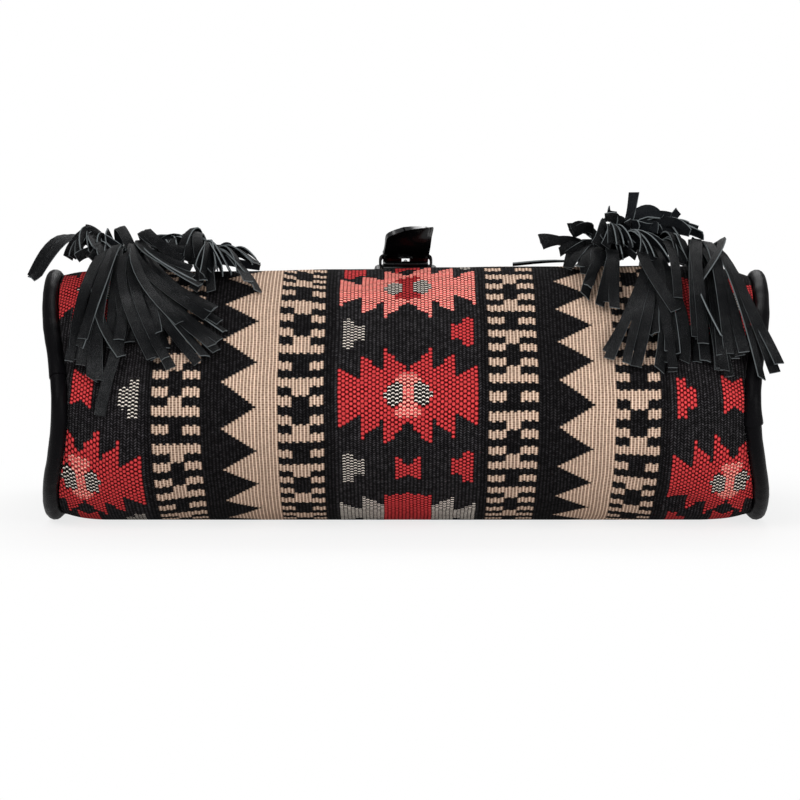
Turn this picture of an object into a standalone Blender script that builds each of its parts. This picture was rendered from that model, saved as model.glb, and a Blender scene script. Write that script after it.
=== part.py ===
"""Kilim saddle bag with black leather trim and six fringed tassels, lying on its back.

The bag's width runs along X, its bottom edge points to -Y and its mouth to +Y, and the
back panel lies on Z = 0. All sizes are in metres. One sheet of kilim makes the front,
the bottom and the back; leather gussets close its two ends, with a cord of piping round
each seam. The flap comes over the mouth from the back and is held by a strap and buckle.
"""

import math

import bmesh
import bpy
from mathutils import Matrix, Vector

MM = 0.001

# The bag's body
BAG_WIDTH = 401 * MM
BAG_HEIGHT = 280 * MM
KEEL_HEIGHT = 70 * MM
SHOULDER_HEIGHT = 139.5 * MM
SHOULDER_RUN = 88 * MM
MOUTH_HEIGHT = 105 * MM
BACK_RUN = 80 * MM
FRONT_RISE = 20 * MM
FRONT_EASE = 28 * MM
BACK_RISE = 30 * MM
BACK_EASE = 34 * MM
KEEL_PULL = 13 * MM
KEEL_REACH = 55 * MM

# Sheets, cords and the gap that sewn pieces keep
GAP = 0.3 * MM
KILIM = 2.5 * MM
LINING = 0.7 * MM
LINING_CLEAR = 1.2 * MM
GUSSET = 2.0 * MM
PIPING_RADIUS = 4.3 * MM
PIPING_STEP = 8 * MM
EDGE_LEATHER = 1.2 * MM
EDGE_DEPTH = 12 * MM
# At a joint the two lengths lean towards each other, so thicker piping needs a wider gap
PIPING_JOINT_SHARE = 9 / 43
PIPING_JOINT_GAP = PIPING_JOINT_SHARE * PIPING_RADIUS
LEFT_PIPING_JOINT = 18 * MM
RIGHT_PIPING_JOINT = -12 * MM

# The flap and the leather band that carries it round the mouth
FLAP_INSET = 25.5 * MM
FLAP_CORNER = 26 * MM
FLAP_EDGE = 60 * MM
FLAP_SHORT = 6 * MM
BAND_LEATHER = 1.8 * MM
BAND_OVERLAP = 22 * MM
BAND_STAND_OFF = 5 * MM
BAND_BEND = 7 * MM
BACK_SEAM = 12 * MM

# The clasp
STRAP_WIDTH = 26 * MM
STRAP_LEATHER = 2.4 * MM
STRAP_SEWN = 48 * MM
STRAP_DIP = 1.0 * MM
STRAP_LEAD = 5 * MM
STRAP_TWIST = math.radians(16)
TIP_CURL = 15 * MM
TIP_TURN = math.radians(64)
TIP_LENGTH = 11 * MM
TIP_POINT = 0.86
SLOT_CLEAR = 1.1 * MM
SLOT_LENGTH = 18 * MM
SLOT_SHIFT = 3.5 * MM
SPARE_SLOT = 20 * MM
BUCKLE_WIRE = 1.8 * MM
BUCKLE_CLEAR = 1.4 * MM
BUCKLE_REACH = 20 * MM
BUCKLE_CORNER = 4 * MM
PRONG_WIRE = 1.2 * MM
HEEL_BAR = 32 * MM
CHAPE_LEATHER = 1.8 * MM
CHAPE_LENGTH = 30 * MM
CHAPE_INSET = 0.5 * MM
CHAPE_SLOT_CLEAR = 1.5 * MM
KEEPER_LEATHER = 1.6 * MM
KEEPER_WIDTH = 9 * MM
KEEPER_PLACE = 16 * MM

# The rings that a shoulder strap clips to
RING_WIRE = 1.5 * MM
RING_INNER = 20 * MM
RING_DEPTH = 17 * MM
RING_PLACE = 26 * MM
RING_HEIGHT = 56 * MM
RING_TAB_LENGTH = 32 * MM
RING_TAB_CLEAR = 1 * MM

# The tassels
COLLAR_RADIUS = 7 * MM
COLLAR_LENGTH = 16 * MM
COLLAR_PLACE = 22 * MM
TASSEL_TAB_WIDTH = 6 * MM
TASSEL_TAB_LEATHER = 1.4 * MM
TASSEL_TAB_SEWN = 12 * MM


# What fits to these sizes

FLAP_WIDTH = BAG_WIDTH - 2 * FLAP_INSET
BUCKLE_INNER = STRAP_WIDTH + 2 * BUCKLE_CLEAR
CHAPE_WIDTH = STRAP_WIDTH - 2 * CHAPE_INSET
SLOT_WIDTH = 2 * (PRONG_WIRE + SLOT_CLEAR)
CHAPE_SLOT = 2 * (PRONG_WIRE + CHAPE_SLOT_CLEAR)
RING_TAB_WIDTH = RING_INNER - 2 * RING_TAB_CLEAR

# How finely the curved forms are divided

CURVE_STEPS = 20
FLAT_STEPS = 6
BODY_COLUMNS = 8
GUSSET_STATIONS = 20
LINING_STATIONS = 16
SIDE_COLUMNS = 4
COLLAR_STEPS = 16

# Forms of the bag's section, in the YZ plane

BAND_OUT = BAND_STAND_OFF + BAND_LEATHER
KEEL_Y = -(BAG_HEIGHT + BAND_OUT) / 2
MOUTH_Y = KEEL_Y + BAG_HEIGHT
KEEL = Vector((KEEL_Y, KEEL_HEIGHT))
SHOULDER = Vector((KEEL_Y + SHOULDER_RUN, SHOULDER_HEIGHT))
FRONT_TOP = Vector((MOUTH_Y, MOUTH_HEIGHT))
BACK_TURN = Vector((KEEL_Y + BACK_RUN, 0.0))
BACK_TOP = Vector((MOUTH_Y - BACK_SEAM, 0.0))
FRONT_ALONG = (FRONT_TOP - SHOULDER).normalized()
FRONT_SLOPE = math.atan2(-FRONT_ALONG.y, FRONT_ALONG.x)
FRONT_LENGTH = (FRONT_TOP - SHOULDER).length


def bezier(start, start_handle, end_handle, end, steps):
    """Points on a cubic curve, from the start to the end."""
    points = []
    for step in range(steps + 1):
        t = step / steps
        s = 1 - t
        points.append(
            s**3 * start + 3 * s * s * t * start_handle + 3 * s * t * t * end_handle + t**3 * end
        )
    return points


def straight(start, end, steps):
    return [start.lerp(end, step / steps) for step in range(1, steps + 1)]


def front_half(curve_steps, straight_steps):
    """The section from the keel up over the shoulder to the front of the mouth."""
    rise = KEEL + Vector((0.0, FRONT_RISE))
    curve = bezier(KEEL, rise, SHOULDER - FRONT_ALONG * FRONT_EASE, SHOULDER, curve_steps)
    return curve + straight(SHOULDER, FRONT_TOP, straight_steps)


def back_half(curve_steps, straight_steps):
    """The section from the keel down to the floor and along it to the back seam."""
    drop = KEEL - Vector((0.0, BACK_RISE))
    curve = bezier(KEEL, drop, BACK_TURN - Vector((BACK_EASE, 0.0)), BACK_TURN, curve_steps)
    return curve + straight(BACK_TURN, BACK_TOP, straight_steps)


def arcs_of(points):
    """Each point's distance from the first, along the line."""
    arcs = [0.0]
    for before, after in zip(points, points[1:]):
        arcs.append(arcs[-1] + (after - before).length)
    return arcs


def signed_section(curve_steps, straight_steps):
    """(arc, point, outward normal) from the front of the mouth round the keel to the back.

    The arc is zero at the keel, positive on the front and negative on the back.
    """
    front = front_half(curve_steps, straight_steps)
    back = back_half(curve_steps, straight_steps)
    arcs = arcs_of(front)[::-1] + [-arc for arc in arcs_of(back)[1:]]
    points = front[::-1] + back[1:]
    rows = []
    for index, point in enumerate(points):
        before = points[max(index - 1, 0)]
        after = points[min(index + 1, len(points) - 1)]
        along = (after - before).normalized()
        rows.append((arcs[index], point, Vector((along.y, -along.x))))
    return rows


FINE_SECTION = signed_section(60, 20)
FRONT_ARC = FINE_SECTION[0][0]
BACK_ARC = -FINE_SECTION[-1][0]
SHOULDER_ARC = FRONT_ARC - FRONT_LENGTH


def section_at(arc, inset):
    """The point of the section at a signed arc, moved inwards by the inset, and its normal."""
    rows = FINE_SECTION
    low = 0
    high = len(rows) - 1
    while high - low > 1:
        middle = (low + high) // 2
        if rows[middle][0] > arc:
            low = middle
        else:
            high = middle
    share = (rows[low][0] - arc) / (rows[low][0] - rows[high][0])
    share = min(max(share, 0.0), 1.0)
    point = rows[low][1].lerp(rows[high][1], share)
    normal = rows[low][2].lerp(rows[high][2], share).normalized()
    return point - normal * inset, normal


def half_width(arc):
    """Half the bag's width: the seams pull in towards the keel."""
    return BAG_WIDTH / 2 - KEEL_PULL * math.exp(-((arc / KEEL_REACH) ** 2))


def on_front(x, arc, lift):
    """A place over the kilim, and the kilim's outward normal there."""
    point, normal = section_at(arc, -lift)
    return Vector((x, point.x, point.y)), Vector((0.0, normal.x, normal.y))


# Scene, materials and modifiers


def clear_scene():
    for obj in list(bpy.data.objects):
        bpy.data.objects.remove(obj, do_unlink=True)
    for collection in list(bpy.data.collections):
        bpy.data.collections.remove(collection)


def new_collection(name):
    collection = bpy.data.collections.new(name)
    bpy.context.scene.collection.children.link(collection)
    return collection


def material(name, colour, roughness, metallic=0.0):
    made = bpy.data.materials.get(name) or bpy.data.materials.new(name)
    made.use_nodes = True
    shader = made.node_tree.nodes["Principled BSDF"]
    shader.inputs["Base Color"].default_value = (*colour, 1.0)
    shader.inputs["Roughness"].default_value = roughness
    shader.inputs["Metallic"].default_value = metallic
    return made


def kilim_cloth():
    return material("kilim", (0.30, 0.05, 0.05), 0.95)


def lining_cloth():
    return material("lining_cotton", (0.06, 0.05, 0.045), 0.9)


def black_leather():
    return material("black_leather", (0.012, 0.012, 0.014), 0.55)


def fringe_leather():
    return material("fringe_leather", (0.020, 0.021, 0.024), 0.75)


def dark_metal():
    return material("dark_metal", (0.10, 0.10, 0.11), 0.3, 1.0)


def link(obj, collection, finish, parent=None):
    collection.objects.link(obj)
    obj.data.materials.append(finish)
    obj.parent = parent
    return obj


def mesh_object(name, bm, collection, finish, parent=None):
    mesh = bpy.data.meshes.new(name)
    bm.to_mesh(mesh)
    bm.free()
    return link(bpy.data.objects.new(name, mesh), collection, finish, parent)


def smooth(obj, angle=35):
    obj.data.shade_smooth()
    obj.data.set_sharp_from_angle(angle=math.radians(angle))


def solidify(obj, thickness, offset=-1.0):
    modifier = obj.modifiers.new("thickness", "SOLIDIFY")
    modifier.thickness = thickness
    modifier.offset = offset
    modifier.use_even_offset = True


def cut(obj, cutter):
    modifier = obj.modifiers.new("cut_" + cutter.name, "BOOLEAN")
    modifier.operation = "DIFFERENCE"
    modifier.object = cutter


def as_cutter(obj):
    obj.hide_render = True
    obj.display_type = "WIRE"
    return obj


# Shapes that several pieces share


def ribbon(name, rows, thickness, collection, finish, parent=None, columns=1, offset=0.0):
    """A strip of sheet that follows rows of (y, z, half width, twist).

    Its outer side is on the right of the way the rows run, seen from +X.
    """
    bm = bmesh.new()
    lines = []
    for index, (y, z, half, twist) in enumerate(rows):
        before = Vector(rows[max(index - 1, 0)][:2])
        after = Vector(rows[min(index + 1, len(rows) - 1)][:2])
        along = (after - before).normalized()
        normal = Vector((0.0, along.y, -along.x))
        across = Vector((math.cos(twist), 0.0, 0.0)) + normal * math.sin(twist)
        line = []
        for column in range(columns + 1):
            reach = half * (2 * column / columns - 1)
            line.append(bm.verts.new(Vector((0.0, y, z)) + across * reach))
        lines.append(line)
    for first, second in zip(lines, lines[1:]):
        for column in range(columns):
            bm.faces.new(
                (first[column], second[column], second[column + 1], first[column + 1])
            )
    made = mesh_object(name, bm, collection, finish, parent)
    solidify(made, thickness, offset)
    smooth(made)
    return made


def tube(name, points, radius, collection, finish, parent=None, closed=False, sides=2):
    """A round cord or wire through the points."""
    data = bpy.data.curves.new(name, "CURVE")
    data.dimensions = "3D"
    data.bevel_depth = radius
    data.bevel_resolution = sides
    data.use_fill_caps = not closed
    spline = data.splines.new("POLY")
    spline.points.add(len(points) - 1)
    for target, point in zip(spline.points, points):
        target.co = (*point, 1.0)
    spline.use_cyclic_u = closed
    return link(bpy.data.objects.new(name, data), collection, finish, parent)


def arc_points(centre, radius, start, end, steps):
    """Points on an arc in a plane, from the start to the end angle in degrees."""
    points = []
    for step in range(steps + 1):
        angle = math.radians(start + (end - start) * step / steps)
        points.append(
            (centre[0] + radius * math.cos(angle), centre[1] + radius * math.sin(angle))
        )
    return points


def flat_piece(name, outline, low, high, collection, finish, parent=None):
    """A flat outline in XY, thickened from one height to another."""
    data = bpy.data.curves.new(name, "CURVE")
    data.dimensions = "2D"
    data.fill_mode = "BOTH"
    data.extrude = (high - low) / 2
    spline = data.splines.new("POLY")
    spline.points.add(len(outline) - 1)
    for target, (x, y) in zip(spline.points, outline):
        target.co = (x, y, 0.0, 1.0)
    spline.use_cyclic_u = True
    curve = link(bpy.data.objects.new(name, data), collection, finish)
    curve.location.z = (high + low) / 2
    return as_mesh(curve, name, collection, finish, parent)


def as_mesh(curve, name, collection, finish, parent=None):
    """The curve's shape as a welded mesh, which a Boolean can use."""
    bpy.context.view_layer.update()
    graph = bpy.context.evaluated_depsgraph_get()
    mesh = bpy.data.meshes.new_from_object(curve.evaluated_get(graph))
    bm = bmesh.new()
    bm.from_mesh(mesh)
    bmesh.ops.remove_doubles(bm, verts=bm.verts, dist=0.001 * MM)
    bmesh.ops.recalc_face_normals(bm, faces=bm.faces)
    bm.to_mesh(mesh)
    bm.free()
    place = curve.matrix_world.copy()
    bpy.data.objects.remove(curve, do_unlink=True)
    made = bpy.data.objects.new(name, mesh)
    collection.objects.link(made)
    mesh.materials.clear()
    mesh.materials.append(finish)
    made.matrix_world = place
    made.parent = parent
    return made


def u_outline(half, edge, top, corner):
    """A panel with two round lower corners: it runs along Y from the edge to the top."""
    right = arc_points((half - corner, edge + corner), corner, 0, -90, 6)
    left = arc_points((corner - half, edge + corner), corner, -90, -180, 6)
    return [(half, top), *right, *left, (-half, top)]


def folded_tab_rows(length, half, leather, bar, filler):
    """A leather strip folded round a bar, with its two layers running to -Y.

    The bar's axis is at y = 0, at the height tab_bar_height gives.
    """
    height = tab_bar_height(leather, bar)
    reach = bar + GAP + leather / 2
    lower = GAP + leather / 2
    upper = lower + leather + GAP + filler
    rows = [(-length, lower)]
    rows += arc_points((0.0, height), reach, -90, 90, 10)
    rows += [(-reach * 1.2, height + reach * 0.82), (-reach * 2.2, upper), (-length * 0.82, upper)]
    rows += [(-length, lower + leather + GAP)]
    return [(y, z, half, 0.0) for y, z in rows]


def tab_bar_height(leather, bar):
    return bar + 2 * GAP + leather


# The sewn body


def make_kilim_body(parts):
    """One sheet of kilim: front, bottom and back, without a seam between them."""
    rows = []
    for arc, point, _ in signed_section(CURVE_STEPS, FLAT_STEPS):
        rows.append((point.x, point.y, half_width(arc) - 2 * PIPING_RADIUS - GAP, 0.0))
    ribbon("kilim_body", rows, KILIM, parts, kilim_cloth(), columns=BODY_COLUMNS, offset=-1.0)


def make_gusset(name, side, parts):
    """The leather end panel, inside the ring of piping."""
    inset = 2 * PIPING_RADIUS + GAP
    columns = SIDE_COLUMNS
    bm = bmesh.new()
    tip_point, _ = section_at(0.0, inset)
    tip = bm.verts.new((side * (half_width(0.0) - PIPING_RADIUS), tip_point.x, tip_point.y))
    last = [tip] * (columns + 1)
    for station in range(1, GUSSET_STATIONS + 1):
        share = station / GUSSET_STATIONS
        front_arc = FRONT_ARC * share
        back_arc = -BACK_ARC * share
        front, _ = section_at(front_arc, inset)
        back, _ = section_at(back_arc, inset)
        line = []
        for column in range(columns + 1):
            t = column / columns
            point = front.lerp(back, t)
            wide = half_width(front_arc) * (1 - t) + half_width(back_arc) * t
            line.append(bm.verts.new((side * (wide - PIPING_RADIUS), point.x, point.y)))
        for column in range(columns):
            corners = [last[column], line[column], line[column + 1], last[column + 1]]
            corners = list(dict.fromkeys(corners))
            bm.faces.new(corners[::-1] if side > 0 else corners)
        last = line
    made = mesh_object(name, bm, parts, black_leather())
    solidify(made, GUSSET)
    smooth(made)


def make_piping(name, side, start, end, parts):
    """Leather-covered cord along the seam of one end, over a stretch of the section."""
    points = []
    steps = max(6, round(abs(end - start) / PIPING_STEP))
    for step in range(steps + 1):
        arc = start + (end - start) * step / steps
        point, _ = section_at(arc, PIPING_RADIUS)
        points.append((side * (half_width(arc) - PIPING_RADIUS), point.x, point.y))
    tube(name, points, PIPING_RADIUS, parts, black_leather(), sides=3)


def make_lining(parts):
    """The cotton bag inside, open at the mouth."""
    inset = KILIM + GAP
    columns = SIDE_COLUMNS
    front_end = FRONT_ARC - EDGE_DEPTH - 2 * GAP - EDGE_LEATHER
    back_end = BACK_ARC - EDGE_DEPTH
    bm = bmesh.new()

    def row(arc):
        point, _ = section_at(arc, inset)
        half = half_width(arc) - 2 * PIPING_RADIUS - LINING_CLEAR
        xs = [half * (2 * column / columns - 1) for column in range(columns + 1)]
        return [bm.verts.new((x, point.x, point.y)) for x in xs]

    keel = row(0.0)
    last_front = last_back = keel
    for station in range(1, LINING_STATIONS + 1):
        share = station / LINING_STATIONS
        front = row(front_end * share)
        back = row(-back_end * share)
        for column in range(columns):
            bm.faces.new(
                (front[column], last_front[column], last_front[column + 1], front[column + 1])
            )
            bm.faces.new(
                (last_back[column], back[column], back[column + 1], last_back[column + 1])
            )
        for end in (0, columns):
            corners = [last_front[end], front[end], back[end], last_back[end]]
            bm.faces.new(list(dict.fromkeys(corners)))
        last_front = front
        last_back = back
    bmesh.ops.recalc_face_normals(bm, faces=bm.faces)
    made = mesh_object("lining", bm, parts, lining_cloth())
    solidify(made, LINING)
    smooth(made)


def edge_channel_rows(end_y, end_z, along, wall, half):
    """A folded strip over a sheet's edge: down one side, round the edge, up the other."""
    out = Vector((-along.y, along.x))
    edge = Vector((end_y, end_z))
    reach = GAP + EDGE_LEATHER / 2
    outer = edge + out * reach
    inner = edge - out * (wall + reach)
    past = along * reach
    points = [outer - along * EDGE_DEPTH, outer, outer + past - out * reach]
    points += [inner + past + out * reach, inner, inner - along * EDGE_DEPTH]
    return [(point.x, point.y, half, 0.0) for point in points]


def make_mouth_binding(parts):
    """Leather folded over the front panel's top edge."""
    half = half_width(FRONT_ARC) - 2 * PIPING_RADIUS - GAP
    rows = edge_channel_rows(FRONT_TOP.x, FRONT_TOP.y, FRONT_ALONG, KILIM, half)
    ribbon("mouth_binding", rows[::-1], EDGE_LEATHER, parts, black_leather())


def make_gusset_binding(name, side, parts):
    """Leather folded over the gusset's top edge, between the two ends of the piping."""
    inset = 2 * PIPING_RADIUS + GAP
    clear = EDGE_LEATHER + 2 * GAP + KILIM
    top, _ = section_at(FRONT_ARC, inset + clear)
    bottom, _ = section_at(-BACK_ARC, inset + GAP)
    outer = half_width(FRONT_ARC) - PIPING_RADIUS
    middle = outer - GUSSET / 2
    reach = GUSSET / 2 + GAP + EDGE_LEATHER / 2
    along = (top - bottom).normalized()
    forward = Vector((along.y, -along.x))
    profile = [(reach, -EDGE_DEPTH / 2), (reach, GAP), (reach / 2, GAP + EDGE_LEATHER)]
    profile += [(-reach / 2, GAP + EDGE_LEATHER), (-reach, GAP), (-reach, -EDGE_DEPTH / 2)]
    bm = bmesh.new()
    lines = []
    for end in (bottom, top):
        line = []
        for sideways, ahead in profile:
            place = end + forward * ahead
            line.append(bm.verts.new((side * (middle + sideways), place.x, place.y)))
        lines.append(line)
    for index in range(len(profile) - 1):
        corners = (lines[0][index], lines[0][index + 1], lines[1][index + 1], lines[1][index])
        bm.faces.new(corners)
    made = mesh_object(name, bm, parts, black_leather())
    solidify(made, EDGE_LEATHER, 0.0)


# The flap, in the plane of the front: Y runs from the shoulder to the mouth, Z out of it

FLAP_LOW = 2 * GAP + EDGE_LEATHER
FLAP_HIGH = FLAP_LOW + KILIM
BINDING_HIGH = FLAP_HIGH + GAP + EDGE_LEATHER
FLAP_TOP = FRONT_LENGTH - EDGE_DEPTH - FLAP_SHORT
BAND_LOW = BINDING_HIGH + GAP


def make_front_plane(parts):
    """The frame of the pieces that lie on the front: its origin is at the shoulder."""
    plane = bpy.data.objects.new("front_plane", None)
    parts.objects.link(plane)
    plane.location = (0.0, SHOULDER.x, SHOULDER.y)
    plane.rotation_euler = (-FRONT_SLOPE, 0.0, 0.0)
    return plane


def make_flap(parts, plane):
    half = FLAP_WIDTH / 2 - GAP - EDGE_LEATHER
    edge = FLAP_EDGE + GAP + EDGE_LEATHER
    outline = u_outline(half, edge, FLAP_TOP, FLAP_CORNER)
    flat_piece("flap", outline, FLAP_LOW, FLAP_HIGH, parts, kilim_cloth(), plane)


def make_flap_binding(parts, cutters, plane):
    """A leather strip folded over the flap's sides and lower edge."""
    leather = black_leather()
    shrink = GAP + EDGE_LEATHER
    outer = u_outline(FLAP_WIDTH / 2, FLAP_EDGE, FLAP_TOP, FLAP_CORNER + shrink)
    binding = flat_piece("flap_binding", outer, GAP, BINDING_HIGH, parts, leather, plane)
    slot_half = FLAP_WIDTH / 2 - EDGE_LEATHER
    slot_edge = FLAP_EDGE + EDGE_LEATHER
    slot = u_outline(slot_half, slot_edge, FLAP_TOP + shrink, FLAP_CORNER + GAP)
    hollow = flat_piece(
        "flap_edge_cutter", slot, FLAP_LOW - GAP, FLAP_HIGH + GAP, cutters, leather, plane
    )
    inner_half = FLAP_WIDTH / 2 - EDGE_DEPTH
    inner_edge = FLAP_EDGE + EDGE_DEPTH
    inner = u_outline(inner_half, inner_edge, FLAP_TOP + shrink, FLAP_CORNER - EDGE_DEPTH + shrink)
    window = flat_piece(
        "flap_window_cutter", inner, -shrink, BINDING_HIGH + shrink, cutters, leather, plane
    )
    cut(binding, as_cutter(hollow))
    cut(binding, as_cutter(window))


def make_top_band(parts):
    """The leather band that is sewn on the flap, goes round the mouth and meets the back."""
    out = Vector((-FRONT_ALONG.y, FRONT_ALONG.x))
    height = BAND_LOW + BAND_LEATHER
    start = SHOULDER + FRONT_ALONG * (FLAP_TOP - BAND_OVERLAP) + out * height
    far = MOUTH_Y + BAND_OUT
    crest = start + FRONT_ALONG * ((far - BAND_BEND - start.x) / FRONT_ALONG.x)
    turn = bezier(
        crest,
        crest + FRONT_ALONG * BAND_BEND * 0.6,
        Vector((far, crest.y - BAND_BEND * 0.7)),
        Vector((far, crest.y - BAND_BEND * 1.4)),
        5,
    )
    low = bezier(
        Vector((far, BAND_BEND)),
        Vector((far, BAND_BEND * 0.45)),
        Vector((far - BAND_BEND * 0.55, 0.0)),
        Vector((far - BAND_BEND, 0.0)),
        5,
    )
    points = [start, *turn, *low, Vector((BACK_TOP.x + GAP, 0.0))]
    rows = [(point.x, point.y, FLAP_WIDTH / 2, 0.0) for point in points]
    ribbon("top_band", rows, BAND_LEATHER, parts, black_leather(), offset=1.0)


# The clasp, in the plane of the front


CHAPE_TOP = 4 * GAP + 2 * CHAPE_LEATHER + KEEPER_LEATHER
BAR_HEIGHT = tab_bar_height(CHAPE_LEATHER, BUCKLE_WIRE)
STRAP_ON_FLAP = BINDING_HIGH + GAP + STRAP_LEATHER / 2
STRAP_ON_CHAPE = CHAPE_TOP + GAP + STRAP_LEATHER / 2
STRAP_OVER_BAR = BAR_HEIGHT + BUCKLE_WIRE + 2 * GAP + CHAPE_LEATHER + STRAP_LEATHER / 2
STRAP_UNDER_BAR = STRAP_ON_FLAP - STRAP_DIP
OUTER_BAR_HEIGHT = STRAP_UNDER_BAR + STRAP_LEATHER / 2 + 2 * GAP + BUCKLE_WIRE
BUCKLE_TILT = math.asin((OUTER_BAR_HEIGHT - BAR_HEIGHT) / BUCKLE_REACH)


def slot_cutter(name, along, height, pitch, cutters, plane):
    """A slot with round ends, cut square to the strap."""
    straight_part = (SLOT_LENGTH - SLOT_WIDTH) / 2
    outline = arc_points((0.0, straight_part), SLOT_WIDTH / 2, 0, 180, 6)
    outline += arc_points((0.0, -straight_part), SLOT_WIDTH / 2, 180, 360, 6)
    depth = 4 * STRAP_LEATHER
    cutter = flat_piece(name, outline, -depth, depth, cutters, black_leather(), plane)
    cutter.location = (0.0, along, height)
    cutter.rotation_euler.x = pitch
    return as_cutter(cutter)


def strap_rows():
    """The closure strap from the flap, under the buckle's bar, over the heel bar, to its tip."""
    half = STRAP_WIDTH / 2
    outer_bar = HEEL_BAR + BUCKLE_REACH * math.cos(BUCKLE_TILT)
    route = [
        (FLAP_EDGE + STRAP_SEWN, STRAP_ON_FLAP, half),
        (FLAP_EDGE + 3 * MM, STRAP_ON_FLAP, half),
        (outer_bar + 4 * MM, STRAP_UNDER_BAR + 0.4 * MM, half),
        (outer_bar, STRAP_UNDER_BAR, half),
        (outer_bar - STRAP_LEAD, STRAP_UNDER_BAR + 0.5 * MM, half),
        (HEEL_BAR + STRAP_LEAD, STRAP_OVER_BAR - 0.6 * MM, half),
        (HEEL_BAR, STRAP_OVER_BAR, half),
        (HEEL_BAR - STRAP_LEAD, STRAP_OVER_BAR - 0.4 * MM, half),
        (KEEPER_PLACE + KEEPER_WIDTH, STRAP_ON_CHAPE + 0.1 * MM, half),
        (KEEPER_PLACE - KEEPER_WIDTH / 2, STRAP_ON_CHAPE, half),
    ]
    rows = [(along, height, wide, 0.0) for along, height, wide in route]
    start_along, start_height, _ = route[-1]
    rows += tip_rows(start_along - 1.5 * MM, start_height + 0.1 * MM, half)
    return rows


def tip_rows(along, height, half):
    """The free end: it curls up off the front, twists and ends in a round point."""
    rows = []
    curl_steps = 6
    for step in range(1, curl_steps + 1):
        share = step / curl_steps
        angle = TIP_TURN * share
        y = along - TIP_CURL * math.sin(angle)
        z = height + TIP_CURL * (1 - math.cos(angle))
        rows.append((y, z, half, STRAP_TWIST * share / 2))
    start_y, start_z, _, _ = rows[-1]
    point_steps = 6
    for step in range(1, point_steps + 1):
        share = step / point_steps
        y = start_y - TIP_LENGTH * share * math.cos(TIP_TURN)
        z = start_z + TIP_LENGTH * share * math.sin(TIP_TURN)
        narrow = math.sqrt(1 - (share * TIP_POINT) ** 4)
        rows.append((y, z, half * narrow, STRAP_TWIST * (1 + share) / 2))
    return rows


def make_strap(parts, cutters, plane):
    strap = ribbon(
        "closure_strap", strap_rows(), STRAP_LEATHER, parts, black_leather(), plane, columns=2
    )
    lean = -math.atan2(STRAP_OVER_BAR - STRAP_UNDER_BAR, BUCKLE_REACH)
    prong_slot = HEEL_BAR + SLOT_SHIFT
    spare_slot = FLAP_EDGE + SPARE_SLOT
    cut(strap, slot_cutter("slot_at_prong", prong_slot, STRAP_OVER_BAR, lean, cutters, plane))
    cut(strap, slot_cutter("slot_on_flap", spare_slot, STRAP_ON_FLAP, 0.0, cutters, plane))


def make_chape(parts, cutters, plane):
    """The leather that holds the buckle: folded round the heel bar, slotted for the prong."""
    rows = folded_tab_rows(
        CHAPE_LENGTH, CHAPE_WIDTH / 2, CHAPE_LEATHER, BUCKLE_WIRE, KEEPER_LEATHER + GAP
    )
    chape = ribbon("buckle_chape", rows, CHAPE_LEATHER, parts, black_leather(), plane)
    chape.location.y = HEEL_BAR
    reach = CHAPE_LENGTH / 4
    outline = [(-CHAPE_SLOT / 2, -reach), (CHAPE_SLOT / 2, -reach)]
    outline += [(CHAPE_SLOT / 2, reach), (-CHAPE_SLOT / 2, reach)]
    high = 4 * BAR_HEIGHT
    slot = flat_piece(
        "chape_slot_cutter", outline, -BAR_HEIGHT, high, cutters, black_leather(), plane
    )
    slot.location.y += HEEL_BAR
    cut(chape, as_cutter(slot))


def make_keeper(parts, plane):
    """A leather loop round the strap and the chape's upper layer."""
    low = GAP + CHAPE_LEATHER + GAP + KEEPER_LEATHER / 2
    high = STRAP_ON_CHAPE + STRAP_LEATHER / 2 + 2 * GAP + KEEPER_LEATHER / 2
    half = STRAP_WIDTH / 2 + 2 * GAP + KEEPER_LEATHER / 2
    corner = 2.2 * MM
    loop = arc_points((half - corner, high - corner), corner, 0, 90, 4)
    loop += arc_points((corner - half, high - corner), corner, 90, 180, 4)
    loop += arc_points((corner - half, low + corner), corner, 180, 270, 4)
    loop += arc_points((half - corner, low + corner), corner, 270, 360, 4)
    bm = bmesh.new()
    near = [bm.verts.new((x, -KEEPER_WIDTH / 2, z)) for x, z in loop]
    far = [bm.verts.new((x, KEEPER_WIDTH / 2, z)) for x, z in loop]
    for index in range(len(loop)):
        after = (index + 1) % len(loop)
        bm.faces.new((near[index], near[after], far[after], far[index]))
    keeper = mesh_object("strap_keeper", bm, parts, black_leather(), plane)
    keeper.location.y = KEEPER_PLACE
    solidify(keeper, KEEPER_LEATHER, 0.0)
    smooth(keeper)


def make_buckle(parts, plane):
    """The wire frame: its heel bar is at the object's origin, its outer bar at +Y."""
    half = BUCKLE_INNER / 2 + BUCKLE_WIRE
    corner = BUCKLE_CORNER
    loop = arc_points((half - corner, BUCKLE_REACH - corner), corner, 0, 90, 5)
    loop += arc_points((corner - half, BUCKLE_REACH - corner), corner, 90, 180, 5)
    loop += arc_points((corner / 2 - half, corner / 2), corner / 2, 180, 270, 4)
    loop += arc_points((half - corner / 2, corner / 2), corner / 2, 270, 360, 4)
    points = [(x, y, 0.0) for x, y in loop]
    frame = tube("buckle_frame", points, BUCKLE_WIRE, parts, dark_metal(), plane, True, 3)
    frame.location = (0.0, HEEL_BAR, BAR_HEIGHT)
    frame.rotation_euler.x = BUCKLE_TILT


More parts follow.
